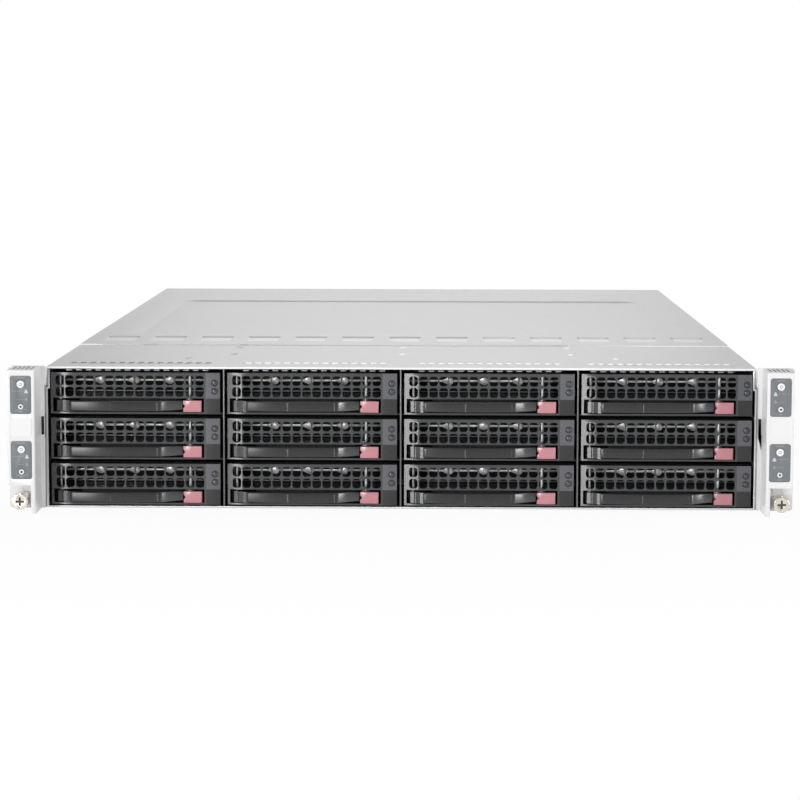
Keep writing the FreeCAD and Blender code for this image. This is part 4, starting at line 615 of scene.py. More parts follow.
def bezel_front(bm):
    """The flat front: a round-cornered hole in every cell of the grille, and plain margins round it."""
    dots = {}

    def dot(x, z):
        key = round(x, 3), round(z, 3)
        if key not in dots:
            dots[key] = bm.verts.new((x, 0, z))
        return dots[key]

    xs = sorted({-half, *cell_xs, block_left, *bulge_xs, half})
    zs = sorted({0, BEZEL_WEB, *cell_zs, TRAY_HEIGHT})
    for x0, x1 in zip(xs, xs[1:]):
        for z0, z1 in zip(zs, zs[1:]):
            x, z = (x0 + x1) / 2, (z0 + z1) / 2
            in_cells = cell_xs[0] < x < cell_xs[-1] and cell_zs[0] < z < cell_zs[-1]
            in_recess = cell_xs[0] < x < block_left and BEZEL_WEB < z < GRILLE_BOTTOM
            if not in_cells and not in_recess:
                bm.faces.new([dot(x0, z0), dot(x1, z0), dot(x1, z1), dot(x0, z1)])
    for left, x0, x1 in zip(hole_lefts, cell_xs, cell_xs[1:]):
        for low, z0, z1 in zip(hole_lows, cell_zs, cell_zs[1:]):
            right, high, r = left + hole_wide, low + HOLE_HIGH, HOLE_ROUND
            corners = (right - r, low + r), (right - r, high - r), (left + r, high - r), (left + r, low + r)
            arcs = []
            for k, (x, z) in enumerate(corners):
                turns = [math.radians(90 * k - 90 + 22.5 * i) for i in range(5)]
                arcs.append([dot(x + r * math.cos(a), z + r * math.sin(a)) for a in turns])
            along = [x for x in xs if x0 < x < x1]
            sides = [[(x0, z0), *[(x, z0) for x in along], (x1, z0)], [(x1, z0), (x1, z1)],
                     [(x1, z1), *[(x, z1) for x in reversed(along)], (x0, z1)], [(x0, z1), (x0, z0)]]
            for k, side in enumerate(sides):
                inner = arcs[k][2::-1] + arcs[k - 1][:1:-1]
                bm.faces.new([dot(*place) for place in side] + inner)


def bezel_shape():
    """The moulding in millimetres: the pierced front, rim walls behind it, and the lever's recess."""
    bm = bmesh.new()
    bezel_front(bm)
    rim = []
    for face in drawn_out(bm, bm.faces[:], (0, GRILLE_THICK, 0)):
        c = face.calc_center_median()
        in_height = BEZEL_WEB < c.z < TRAY_HEIGHT - BEZEL_WEB
        if c.x < BEZEL_WALL - half or c.x > bulge_xs[0] or not in_height:
            rim.append(face)
    drawn_out(bm, rim, (0, BEZEL_DEPTH - GRILLE_THICK, 0))
    bmesh.ops.delete(bm, geom=rim, context="FACES")
    x0, x1, y0, y1 = RECESS_WALL
    behind_grille, end_web = GRILLE_THICK - OVERLAP, block_left + BEZEL_WEB
    block(bm, (x0, y0, BEZEL_WEB - OVERLAP), (x1, y1, GRILLE_BOTTOM + OVERLAP))
    block(bm, (block_left, behind_grille, BEZEL_WEB - OVERLAP), (end_web, y0, GRILLE_BOTTOM + OVERLAP))
    block(bm, (cell_xs[0] - OVERLAP, behind_grille, GRILLE_BOTTOM),
          (end_web, BEZEL_DEPTH, GRILLE_BOTTOM + HOLE_SILL))
    for v in bm.verts:
        past = FALL_CURVE + FALL_FLAT - half - v.co.x
        if past > 0:
            curved = min(past, FALL_CURVE)
            v.co.y += FALL_SLOPE * (curved ** 2 / FALL_CURVE / 2 + past - curved)
        across = (v.co.x - block_left) / GRILLE_RIGHT
        if v.co.y < ON_FACE and 0 < across < 1:
            v.co.y += BLOCK_BULGE * ((2 * across - 1) ** 2 - 1)
    moulded = set(bm.faces)
    for drop in LAMPS_BELOW_TOP:
        turned(bm, RING_OUTLINE, (half - LAMP_FROM_RIGHT, LAMP_OUT, TRAY_HEIGHT - drop))
    for face in bm.faces:
        if face not in moulded:
            face.material_index = 2
    return bm


def lens_shape():
    """The two smoked light pipes, each a slightly domed rod end."""
    bm = bmesh.new()
    for drop in LAMPS_BELOW_TOP:
        turned(bm, LENS_OUTLINE, (half - LAMP_FROM_RIGHT, LAMP_OUT, TRAY_HEIGHT - drop), steps=24)
    return bm


charcoal = finish("charcoal_nylon", (0.027, 0.028, 0.031), 0.27, wander=0.10, fine=2600, depth=0.004,
                  patch=30, unevenness=0.03, Specular_IOR_Level=1.0, Anisotropic=0.85,
                  Anisotropic_Rotation=0.25)
block_black_and_shade = finish("lamp_block_painted_shade_black", (0.02, 0.02, 0.022), 0.3, wander=0.08, fine=2600, depth=0.006)
lamp_grey = finish("lamp_panel_grey", (0.105, 0.106, 0.118), 0.28, wander=0.06, fine=2600, depth=0.01,
                   patch=30)
smoked = finish("smoked_lens", (0.05, 0.055, 0.06), 0.12, wander=0.05, fine=900, depth=0.0,
                unevenness=0.03, Coat_Weight=0.6)
for number in range(1, TRAYS + 1):
    body, origin = f"drive_tray_{number:02d}", tray_place(number)
    bm = placed(bezel_shape(), origin)
    # On the lamp block, faces above the grille's foot take the light pipe's grey and faces below take a
    # darker black: painted shade on the lower block. The lamp rings' black is their own.
    for face in bm.faces:
        spot = (face.calc_center_median() - origin) / MM
        on_block = spot.x > block_left + BEZEL_WEB - BLOCK_SLACK and spot.y < BLOCK_DEEP
        if face.material_index == 0 and on_block:
            face.material_index = 1 if spot.z > GRILLE_BOTTOM else 2
    piece(f"tray_{number:02d}_bezel", bm, (charcoal, lamp_grey, block_black_and_shade), body,
          [body], BEZEL_EDGE)
    piece(f"tray_{number:02d}_lenses", placed(lens_shape(), origin), smoked, body)

# ---------------------------------------------------------------- drives and runners
# Behind the bezel sit two side rails, four screws and two steel pins, and a 3.5 inch drive: a
# cast base whose rim carries three round bosses, a circuit board under it and a pressed lid.

RIM_HEIGHT = 17.65
RIM_SLACK = 0.1
BEZEL_BACK = 20
BOARD_EDGE = (46.0, 0.25, 11.2, 11.75)
BOARD_SUNK = 0.3
SQUARE_ON = -0.9
LID_FACING = -0.5
DRIVE_EDGE = 0.15
LID_EDGE = 0.3
RUNNER_EDGE = 0.12

is_pin = sized(x=(0, 3), y=(0, 3), z=over(20))
is_casting = sized(x=over(100), y=over(140))
is_lid = sized(x=(90, 100), y=over(140))
is_narrow = sized(x=(0, 6))

casting = finish("cast_aluminium", (0.94, 0.925, 0.89), 0.32, metal=0.35, wander=0.04, fine=2200,
                 depth=0.008, patch=60, unevenness=0.05)
lid_steel = finish("pressed_lid", (0.62, 0.62, 0.63), 0.32, metal=1.0, wander=0.03, grain=(1, 0.15, 1),
                   fine=1500, depth=0.0008, unevenness=0.04)
runner_metal = finish("runner_sheet", (0.58, 0.58, 0.60), 0.38, metal=1.0, grain=(1, 0.1, 1),
                      fine=1500, depth=0.004)
dark_pin = finish("dark_pin", (0.30, 0.30, 0.31), 0.34, metal=1.0, wander=0.03, grain=(1, 1, 0.1),
                  fine=1500, depth=0.002)
pin_steel = finish("bright_pin", (0.90, 0.90, 0.91), 0.34, metal=0.6, wander=0.02, grain=(1, 1, 0.1),
                   fine=1500, depth=0.002)
board_black_and_shade = finish("drive_board_and_painted_shade", (0.012, 0.018, 0.02), 0.45, wander=0.3, fine=900, depth=0.02,
                     patch=240)
for number in range(1, TRAYS + 1):
    tray, body, origin = f"tray_{number:02d}", f"drive_tray_{number:02d}", tray_place(number)
    bm = cut_from(body, is_casting)
    rim_level = origin.z + RIM_HEIGHT * MM - RIM_SLACK * MM
    # The base's front faces below the rim are painted near black: partly the board's own black, partly
    # painted shade.
    shadowed = [face for face in bm.faces
                if face.normal.y < SQUARE_ON and face.calc_center_median().z < rim_level]
    for face in shadowed:
        face.material_index = 1
    largest = max(shadowed, key=lambda face: face.calc_area())
    front = (largest.calc_center_median().y - origin.y) / MM
    piece(f"{tray}_drive", bm, (casting, board_black_and_shade), body, edge=DRIVE_EDGE, steps=1)
    bm = bmesh.new()
    block(bm, (-BOARD_EDGE[0], front - BOARD_EDGE[1], BOARD_EDGE[2]),
          (BOARD_EDGE[0], front + BOARD_SUNK, BOARD_EDGE[3]))
    piece(f"{tray}_board_edge", placed(bm, origin), dark_pin, body)
    bm = cut_from(body, is_lid)
    # The lid's front faces are painted near black: painted shade.
    for face in bm.faces:
        if face.normal.y < LID_FACING:
            face.material_index = 1
    piece(f"{tray}_drive_lid", bm, (lid_steel, board_black_and_shade), body, edge=LID_EDGE)
    runners = cut_from(body, lambda low, high: is_narrow(low, high) and not is_pin(low, high)
                       and low.y > origin.y + BEZEL_BACK * MM)
    piece(f"{tray}_runners", runners, runner_metal, body, edge=RUNNER_EDGE, steps=1)
    hinge_pin = cut_from(body, lambda low, high: is_pin(low, high) and low.x < origin.x)
    piece(f"{tray}_hinge_pin", hinge_pin, dark_pin, body)
    latch_pin = cut_from(body, lambda low, high: is_pin(low, high) and low.x > origin.x)
    piece(f"{tray}_latch_pin", latch_pin, pin_steel, body)

# ---------------------------------------------------------------- levers and latches
# The lever is a bowed bar in glossy black nylon with two fine mould ribs on its face, and turns on
# the left pin. The latch is a dusty red thumb pad with a notched edge, and turns on the right pin.

HINGE = (-46.7, 6.0)
KNUCKLE = 3.0
LEVER_LEFT = -40.75
LEVER_SCOOP = 15.8
LEVER_TIP = 29.0
LEVER_HEIGHT = 6.8
LEVER_THICK = 3.2
LEVER_CLEAR = 0.42
LEVER_CORNER = 0.9
LEVER_EDGE = 0.12
LEVER_END_ROUND = 0.5
LEVER_END_BEVEL = (1.9, 0.24)
BOW = ((LEVER_LEFT, -2.6), (-12.5, -5.0), (LEVER_SCOOP, -3.6))
SCOOP = ((LEVER_SCOOP, -3.6), (22.4, -0.2), (LEVER_TIP, 1.6))
ARM = ((-37.5, 0.4), (-40.4, -2.15), (-42.3, -1.70), (-42.6, 0.6), (-44.8, 0.75), (-44.95, 0.4),
       (-45.45, 0.52), (-45.6, 1.3), (-46.1, 1.9), (-48.3, 2.42), (-48.7, 3.6), (-48.3, 6.0), (-45.2, 7.5),
       (-37.5, 1.6))
RIBS = (-14.8, 13.6)
RIB = (0.55, 0.28)
RIB_SUNK = 0.02
RIB_INSET = 0.9
THUMB_FALL = (0.42, 0.6)
THUMB_CUTS = 8
THUMB_FACE = 0.9
LATCH_EDGE = 0.5


def through(points, x):
    """Height at x of the parabola through three points."""
    total = 0
    for i, (xi, yi) in enumerate(points):
        part = yi
        for j, (xj, _) in enumerate(points):
            if i != j:
                part *= (x - xj) / (xi - xj)
        total += part
    return total


def bar(bm, stations, low, high, corner, steps=3):
    """A bar along x from (x, front, back) stations, with the long edges of its front rounded."""
    rings = []
    for x, front, back in stations:
        outline = [(back, low)]
        for centre, first in ((low + corner, -90), (high - corner, 0)):
            for i in range(steps + 1):
                a = math.radians(first + 90 * i / steps)
                outline.append((front + corner - corner * math.cos(a), centre + corner * math.sin(a)))
        outline.append((back, high))
        rings.append([bm.verts.new((x, y, z)) for y, z in outline])
    for near, far in zip(rings, rings[1:]):
        for i in range(len(near)):
            j = (i + 1) % len(near)
            bm.faces.new([near[i], near[j], far[j], far[i]])
    bm.faces.new(rings[0])
    bm.faces.new(rings[-1])


def raised(bm, outline, low, height):
    """An upright solid from an outline of (x, y) points at its foot."""
    foot = bm.faces.new([bm.verts.new((x, y, low)) for x, y in outline])
    drawn_out(bm, [foot], (0, 0, height))


def lever_shape():
    """The lever in millimetres: a bowed bar, a hollow for a fingertip at its tip, and the hinge arm."""
    bm = bmesh.new()
    low, high = LEVER_BOTTOM, LEVER_BOTTOM + LEVER_HEIGHT
    stations = []
    wide, slope = LEVER_END_BEVEL
    ledge = through(BOW, LEVER_LEFT + wide)
    for i in range(5):
        a = math.radians(90 * i / 4)
        x = LEVER_LEFT + LEVER_END_ROUND * (1 - math.cos(a))
        front = ledge + slope * (LEVER_LEFT + wide - x) + LEVER_END_ROUND * (1 - math.sin(a))
        stations.append((x, front, front + LEVER_THICK))
    stations.append((LEVER_LEFT + wide, ledge, ledge + LEVER_THICK))
    for points, count in ((BOW, 28), (SCOOP, 14)):
        for i in range(count + 1):
            x = points[0][0] + (points[-1][0] - points[0][0]) * i / count
            if x > stations[-1][0] + 1e-6:
                front = through(points, x)
                stations.append((x, front, front + LEVER_THICK))
    bar(bm, stations, low + LEVER_CLEAR, high, LEVER_CORNER)
    raised(bm, ARM, low, LEVER_HEIGHT)
    knuckle = [(0, 0), (KNUCKLE, 0), (KNUCKLE, LEVER_HEIGHT), (0, LEVER_HEIGHT)]
    turned(bm, knuckle, (*HINGE, low), (0, 0, 1), 24)
    for x in RIBS:
        ridge = [(x - RIB[0], through(BOW, x - RIB[0]) + RIB_SUNK), (x, through(BOW, x) - RIB[1]),
                 (x + RIB[0], through(BOW, x + RIB[0]) + RIB_SUNK)]
        raised(bm, ridge, low + RIB_INSET, LEVER_HEIGHT - 2 * RIB_INSET)
    return bm


gloss_black = finish("gloss_black_nylon", (0.024, 0.024, 0.026), 0.28, wander=0.10, fine=2200,
                     depth=0.002, patch=25, unevenness=0.03, Anisotropic=0.85, Anisotropic_Rotation=0.25)
dusty_red = finish("dusty_red_nylon", (0.53, 0.235, 0.262), 0.22, wander=0.05, fine=1500, depth=0.006,
                   patch=60, unevenness=0.04, Subsurface_Weight=0.12, Subsurface_Scale=0.002)
for number in range(1, TRAYS + 1):
    body, origin = f"tray_lever_{number:02d}", tray_place(number)
    bm = placed(lever_shape(), origin)
    for face in bm.faces:
        across = (face.calc_center_median().x - origin.x) / MM
        if across < ARM[1][0] or across > LEVER_SCOOP:
            face.material_index = 1
    piece(f"tray_{number:02d}_lever", bm, (gloss_black, charcoal), body, [body],
          LEVER_EDGE)
    body = f"tray_latch_{number:02d}"
    bm = cut_from(body)
    low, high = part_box(body)
    for i in range(1, THUMB_CUTS + 1):
        cut = low.x + (high.x - low.x) * THUMB_FALL[0] * i / THUMB_CUTS
        bmesh.ops.bisect_plane(bm, geom=bm.verts[:] + bm.edges[:] + bm.faces[:], dist=1e-6,
                               plane_co=(cut, 0, 0), plane_no=(1, 0, 0))
    for v in bm.verts:
        inward = 1 - (v.co.x - low.x) / (high.x - low.x) / THUMB_FALL[0]
        if inward > 0 and v.co.y < low.y + THUMB_FACE * MM:
            v.co.y += THUMB_FALL[1] * MM * inward ** 2
    piece(f"tray_{number:02d}_latch", bm, dusty_red, body, [body], LATCH_EDGE, 3)

# ---------------------------------------------------------------- backplane and fans
# A circuit board with a moulded socket for every drive stands behind the cage, and four axial fans
# with black moulded frames and blades are clamped between two rails.

GUARD_RINGS = (10.0, 17.0, 24.0, 31.0)
GUARD_WIRE = 0.7
GUARD_AHEAD = 1.0
SPOKES = 4
TRACKS_PER_METRE = 180.0
PADS_PER_METRE = 260.0
PAD_REACH = 0.11

is_socket = sized(x=(0, 60))
is_fan_rail = sized(x=over(200))
is_rotor = sized(x=(60, 76))


def guard(bm, centre, rings, wire):
    """A wire finger guard: round rings on four spokes."""
    for r in rings:
        section = [(r + wire * math.cos(a), wire * math.sin(a)) for a in [math.tau * k / 6 for k in range(6)]]
        turned(bm, section + section[:1], centre, steps=40)
    for k in range(SPOKES):
        a = math.tau * (k + 0.5) / SPOKES
        outward = Vector((math.cos(a), 0, math.sin(a)))
        start, end = outward * rings[0], outward * rings[-1]
        made = bmesh.ops.create_cone(bm, cap_ends=True, segments=8, radius1=wire, radius2=wire,
                                     depth=(end - start).length)["verts"]
        turn = (end - start).to_track_quat("Z", "Y").to_matrix()
        bmesh.ops.rotate(bm, cent=(0, 0, 0), verts=made, matrix=turn)
        bmesh.ops.translate(bm, vec=Vector(centre) + (start + end) / 2, verts=made)


def board_finish(name, colour, track):
    """Solder-masked laminate with a faint pattern of tracks and pads under the mask."""
    material = bpy.data.materials.new(name)
    material.use_nodes = True
    tree = material.node_tree
    shader = tree.nodes["Principled BSDF"]
    shader.inputs["Coat Weight"].default_value = 0.3
    place = node(tree, "ShaderNodeTexCoord")
    cells = node(tree, "ShaderNodeTexVoronoi", Scale=PADS_PER_METRE, distance="MANHATTAN", feature="F1")
    lines = node(tree, "ShaderNodeTexBrick", Scale=TRACKS_PER_METRE)
    for socket, value in (("Mortar Size", 0.012), ("Row Height", 0.18), ("Brick Width", 0.9)):
        lines.inputs[socket].default_value = value
    lines.inputs["Color1"].default_value = (*colour, 1)
    lines.inputs["Color2"].default_value = (*[c * 0.8 for c in colour], 1)
    lines.inputs["Mortar"].default_value = (*track, 1)
    tree.links.new(place.outputs["Object"], cells.inputs["Vector"])
    tree.links.new(place.outputs["Object"], lines.inputs["Vector"])
    pads = node(tree, "ShaderNodeMath", operation="LESS_THAN")
    pads.inputs[1].default_value = PAD_REACH
    tree.links.new(cells.outputs["Distance"], pads.inputs[0])
    tint = node(tree, "ShaderNodeMix", data_type="RGBA")
    tint.inputs[7].default_value = (0.42, 0.40, 0.33, 1)
    tree.links.new(lines.outputs["Color"], tint.inputs[6])
    tree.links.new(pads.outputs[0], tint.inputs[0])
    tree.links.new(tint.outputs[2], shader.inputs["Base Color"])
    gloss = ramp(tree, pads.outputs[0], (0.0, 1.0), (0.42, 0.25))
    tree.links.new(gloss, shader.inputs["Roughness"])
    return material


board_green = board_finish("green_solder_mask", (0.012, 0.085, 0.045), (0.02, 0.13, 0.065))
socket_black = finish("socket_black", (0.022, 0.022, 0.024), 0.42, wander=0.08, fine=2200, depth=0.01)
fan_black = finish("fan_black_moulding", (0.026, 0.027, 0.03), 0.38, wander=0.08, fine=1800, depth=0.012)
wire_bright = finish("bright_wire", (0.75, 0.75, 0.76), 0.24, metal=1.0, fine=900, depth=0.003)
piece("backplane_board", cut_from("backplane", other_than(is_socket)), board_green, "server_frame",
      ["backplane"])
piece("backplane_sockets", cut_from("backplane", is_socket), socket_black, "server_frame",
      edge=0.3)
piece("fan_rails", cut_from("fan_bank", is_fan_rail), zinc, "server_frame",
      ["fan_bank"], SHEET_EDGE, 1)
piece("fan_frames", cut_from("fan_bank", other_than(is_rotor, is_fan_rail)), fan_black, "server_frame",
      edge=0.5)
piece("fan_rotors", cut_from("fan_bank", is_rotor), fan_black, "server_frame",
      edge=0.25, steps=1)
bm = bmesh.new()
_, found = solids_of("fan_bank")
for low, high, _ in found:
    if is_rotor(low, high):
        middle = (low + high) / 2 / MM
        guard(bm, (middle.x, low.y / MM - GUARD_AHEAD, middle.z), GUARD_RINGS, GUARD_WIRE)
piece("fan_guards", placed(bm), wire_bright, "server_frame")

# ---------------------------------------------------------------- compute sleds
# Four trays of galvanised sheet slide in from the rear. Each carries a green main board on posts,
# two finned coolers, sixteen memory modules and the ports, and has a pull handle and a sprung catch.

SLEDS = ("lower_left_sled", "lower_right_sled", "upper_left_sled", "upper_right_sled")
COOLER_BASE = 4.5
FIN_THICK = 0.7
FIN_PITCH = 3.0
FIN_INSET = 8
FIN_MARGIN = 2
BOSS = (3, 7)
BOSS_INSET = (5, 4)
MODULE_BOARD = 1.3
MODULE_INSET = (0.8, 2, 0.3)
SOCKET_HIGH = 6
SOCKET_LATCH = (3.5, 5, 22)
CHIP = (11.0, 0.9, 14.0)
CHIP_BELOW = 18
CHIPS_INSET = 8
CHIPS_PER_SIDE = 8


def about(wanted, slack=1.5):
    """The span of sizes that lie close to one."""
    return wanted - slack, wanted + slack


def any_of(*tests):
    """A test for the solids that pass one of these."""
    return lambda low, high: any(test(low, high) for test in tests)


def fins(bm, low, high):
    """A cooler: a base plate, a close row of fins, and a screw boss at each corner."""
    block(bm, low, (high.x, high.y, low.z + COOLER_BASE))
    count = int((high.x - low.x - FIN_MARGIN) // FIN_PITCH)
    first = (low.x + high.x - (count - 1) * FIN_PITCH) / 2
    foot = low.z + COOLER_BASE - OVERLAP
    for i in range(count):
        x = first + i * FIN_PITCH
        block(bm, (x - FIN_THICK / 2, low.y + FIN_INSET, foot),
              (x + FIN_THICK / 2, high.y - FIN_INSET, high.z))
    wide, tall = BOSS
    for x in (low.x + BOSS_INSET[0], high.x - BOSS_INSET[0]):
        for y in (low.y + BOSS_INSET[1], high.y - BOSS_INSET[1]):
            turned(bm, [(0, 0), (wide, 0), (wide, tall), (0, tall)], (x, y, foot), (0, 0, 1), 16)


def memory(boards, keepers, chips, low, high):
    """A memory module: its board, its socket with a latch at each end, and its chips on both sides."""
    x = (low.x + high.x) / 2
    ends, under, over_top = MODULE_INSET
    block(boards, (x - MODULE_BOARD / 2, low.y + ends, low.z + under),
          (x + MODULE_BOARD / 2, high.y - ends, high.z - over_top))
    block(keepers, low, (high.x, high.y, low.z + SOCKET_HIGH))
    long, foot, top = SOCKET_LATCH
    for y0, y1 in ((low.y, low.y + long), (high.y - long, high.y)):
        block(keepers, (low.x, y0, low.z + foot), (high.x, y1, low.z + top))
    step = (high.y - low.y - 2 * CHIPS_INSET) / CHIPS_PER_SIDE
    wide, thick, tall = CHIP
    z = high.z - CHIP_BELOW
    for i in range(CHIPS_PER_SIDE):
        y = low.y + CHIPS_INSET + (i + 0.5) * step
        block(chips, (x - MODULE_BOARD / 2 - thick / 2, y - wide / 2, z),
              (x + MODULE_BOARD / 2 + thick / 2, y + wide / 2, z + tall))


is_cooler = sized(x=about(92), y=about(92))
is_module = sized(x=about(3, 0.5), y=about(133))
is_package = any_of(sized(x=about(60, 1), y=about(14, 1)), sized(x=about(36, 1), y=about(36, 1)))
galvanised = finish("galvanised_sheet", (0.58, 0.59, 0.60), 0.38, metal=1.0, wander=0.09, fine=900,
                    depth=0.004, patch=140)
fin_metal = finish("extruded_fins", (0.66, 0.665, 0.68), 0.33, metal=1.0, grain=(1, 0.08, 1), fine=2400,
                   depth=0.004)
chip_black = finish("chip_epoxy", (0.02, 0.02, 0.022), 0.5, wander=0.1, fine=3000, depth=0.006)
shield = finish("port_shield", (0.72, 0.72, 0.73), 0.26, metal=1.0, fine=1800, depth=0.003)
video_blue = finish("video_port_blue", (0.02, 0.07, 0.30), 0.38, wander=0.06, fine=1800, depth=0.006)
SLED_PARTS = (
    ("pan", sized(x=over(170), z=over(30)), galvanised, 0.15),
    ("board", sized(x=over(150), y=over(400), z=(0, 3)), board_green, 0),
    ("posts", sized(x=about(6, 0.3), y=about(6, 0.3)), shield, 0),
    ("handle", sized(x=about(8, 0.4), y=about(20, 1)), fan_black, 0.5),
    ("catch", sized(x=about(6, 0.4), y=about(11, 1), z=over(10)), dusty_red, 0.4),
    ("video", sized(x=about(30.8, 0.6), y=about(23, 1)), video_blue, 0.15),
    ("ports", sized(x=(0, 20), y=about(18, 0.6)), shield, 0.15),
    ("slot_cover", sized(x=about(79, 1), y=(0, 2)), galvanised, 0.12),
    ("packages", is_package, chip_black, 0.2),
)
for sled in SLEDS:
    for part, wanted, material, edge in SLED_PARTS:
        stands_for = [sled] if part == "pan" else ()
        piece(f"{sled}_{part}", cut_from(sled, wanted), material, sled, stands_for, edge, 1)
    coolers, boards, chips, keepers = bmesh.new(), bmesh.new(), bmesh.new(), bmesh.new()
    _, found = solids_of(sled)
    for low, high, _ in found:
        if is_cooler(low, high):
            fins(coolers, low / MM, high / MM)
        elif is_module(low, high):
            memory(boards, keepers, chips, low / MM, high / MM)
    for part, bm, material, edge in (
            ("coolers", coolers, fin_metal, 0), ("modules", boards, board_green, 0),
            ("memory_chips", chips, chip_black, 0), ("memory_sockets", keepers, socket_black, 0.25)):
        piece(f"{sled}_{part}", placed(bm), material, sled, (), edge, 1)

# ---------------------------------------------------------------- power supplies
# Two zinc-plated modules between the sleds. Each has a recessed mains inlet, a guarded fan, a wire
# bail to pull it by, a red release tab, and a gold-edged tongue that plugs in ahead of it.

SUPPLY_GUARD = (4.5, 8.5, 12.5, 16.5)
SUPPLY_WIRE = 0.45
SUPPLY_GUARD_BEHIND = 0.6
SUPPLIES = ("lower_power_supply", "upper_power_supply")

is_supply_ring = sized(x=about(37.8, 0.5))
gold = finish("gold_contact", (0.83, 0.62, 0.28), 0.28, metal=1.0, grain=(30, 1, 1), fine=120, depth=0.01)
SUPPLY_PARTS = (
    ("case", sized(y=over(300)), galvanised, 0.2),
    ("inlet", sized(x=about(28.1, 1), y=about(18.8, 1)), socket_black, 0.2),
    ("fan_ring", is_supply_ring, fan_black, 0.3),
    ("rotor", sized(x=about(34.4, 0.5)), fan_black, 0.2),
    ("bail", sized(x=about(35.6, 0.5), z=(0, 6)), fan_black, 0),
    ("release", sized(x=about(5.5, 0.4), z=over(12)), dusty_red, 0.4),
    ("tongue", sized(x=over(40), z=(0, 2.2)), gold, 0),
)
for supply in SUPPLIES:
    for part, wanted, material, edge in SUPPLY_PARTS:
        stands_for = [supply] if part == "case" else ()
        piece(f"{supply}_{part}", cut_from(supply, wanted), material, supply, stands_for,
              edge, 1)
    _, found = solids_of(supply)
    for low, high, _ in found:
        if is_supply_ring(low, high):
            middle = (low + high) / 2 / MM
            bm = bmesh.new()
            guard(bm, (middle.x, high.y / MM + SUPPLY_GUARD_BEHIND, middle.z), SUPPLY_GUARD, SUPPLY_WIRE)
            piece(f"{supply}_guard", placed(bm), wire_bright, supply)

# ---------------------------------------------------------------- rack ears
# Each ear is a folded bracket in white paint screwed to the wall, with a moulded housing for two
# control panels. Grey overlays with printed marks lie flush in its face, and a rib runs down to the
# floor.

EARS = (("left_ear", -1), ("right_ear", 1))
EAR_MIDDLE = 229.75
HOUSING_FACE = -385.2
LABEL_CENTRES = (32.9, 72.7)
LABEL_HALF = (6.4, 11.65)
LABEL_SLACK = 0.01
FACE_SLACK = 0.02
EAR_TOP_SHADE = 84.0
FACING_UP = 0.5
PRINT_PROUD = 0.05
PRINT_SUNK = 0.1
ICON_INWARD = 3.35
ICON_FOOT = (1.25, 1.0)
ICON_TOP = (0.35, 1.3)
BRIGHT_ICON = (2.0, 1.0)
FAINT_ICON = (-2.7, 0.85)
LINES = ((-5.4, 1.7, 2.25), (-2.4, 1.7, -2.75))
LINE_HALF = 0.16
END_MARKS = ((2.4, 10.3, 0.3), (0.9, -10.3, 0.35))
SLOT_SHADE_LOW = (219.2, -358.1, 43.4)
SLOT_SHADE_HIGH = (222.4, -352.0, 58.8)
PLATE_HALF = (6.3, 5.6)
PLATE_CENTRE = 52.8
PLATE_CORNER = 0.8
PLATE_PROUD = 0.25
PLATE_SUNK = 0.2

is_bracket = sized(x=over(20), y=over(50))
is_housing = sized(x=(0, 20), y=over(20), z=over(80))
is_ear_screw = sized(x=(0, 1.5), y=about(6, 0.5))
is_ear_board = other_than(is_bracket, is_housing, is_ear_screw)


def prism(bm, outline, y0, y1):
    """A flat shape in the face's plane, from (x, z) points, given a thickness."""
    near_ring = [bm.verts.new((x, y0, z)) for x, z in outline]
    far_ring = [bm.verts.new((x, y1, z)) for x, z in outline]
    bm.faces.new(near_ring)
    bm.faces.new(far_ring)
    for i in range(len(outline)):
        j = (i + 1) % len(outline)
        bm.faces.new([near_ring[i], near_ring[j], far_ring[j], far_ring[i]])


def printed(bm, outline):
    """A printed mark on an ear's face."""
    prism(bm, outline, HOUSING_FACE - PRINT_PROUD, HOUSING_FACE + PRINT_SUNK)


def dash(bm, left, right, z, half_high):
    """A printed level line."""
    foot, top = z - half_high, z + half_high
    printed(bm, [(left, foot), (right, foot), (right, top), (left, top)])


def round_corners(x0, x1, z0, z1, r, steps=5):
    """Outline of a rectangle with round corners."""
    corners = (x1 - r, z0 + r, -90), (x1 - r, z1 - r, 0), (x0 + r, z1 - r, 90), (x0 + r, z0 + r, 180)
    points = []
    for x, z, first in corners:
        for i in range(steps + 1):
            a = math.radians(first + 90 * i / steps)
            points.append((x + r * math.cos(a), z + r * math.sin(a)))
    return points


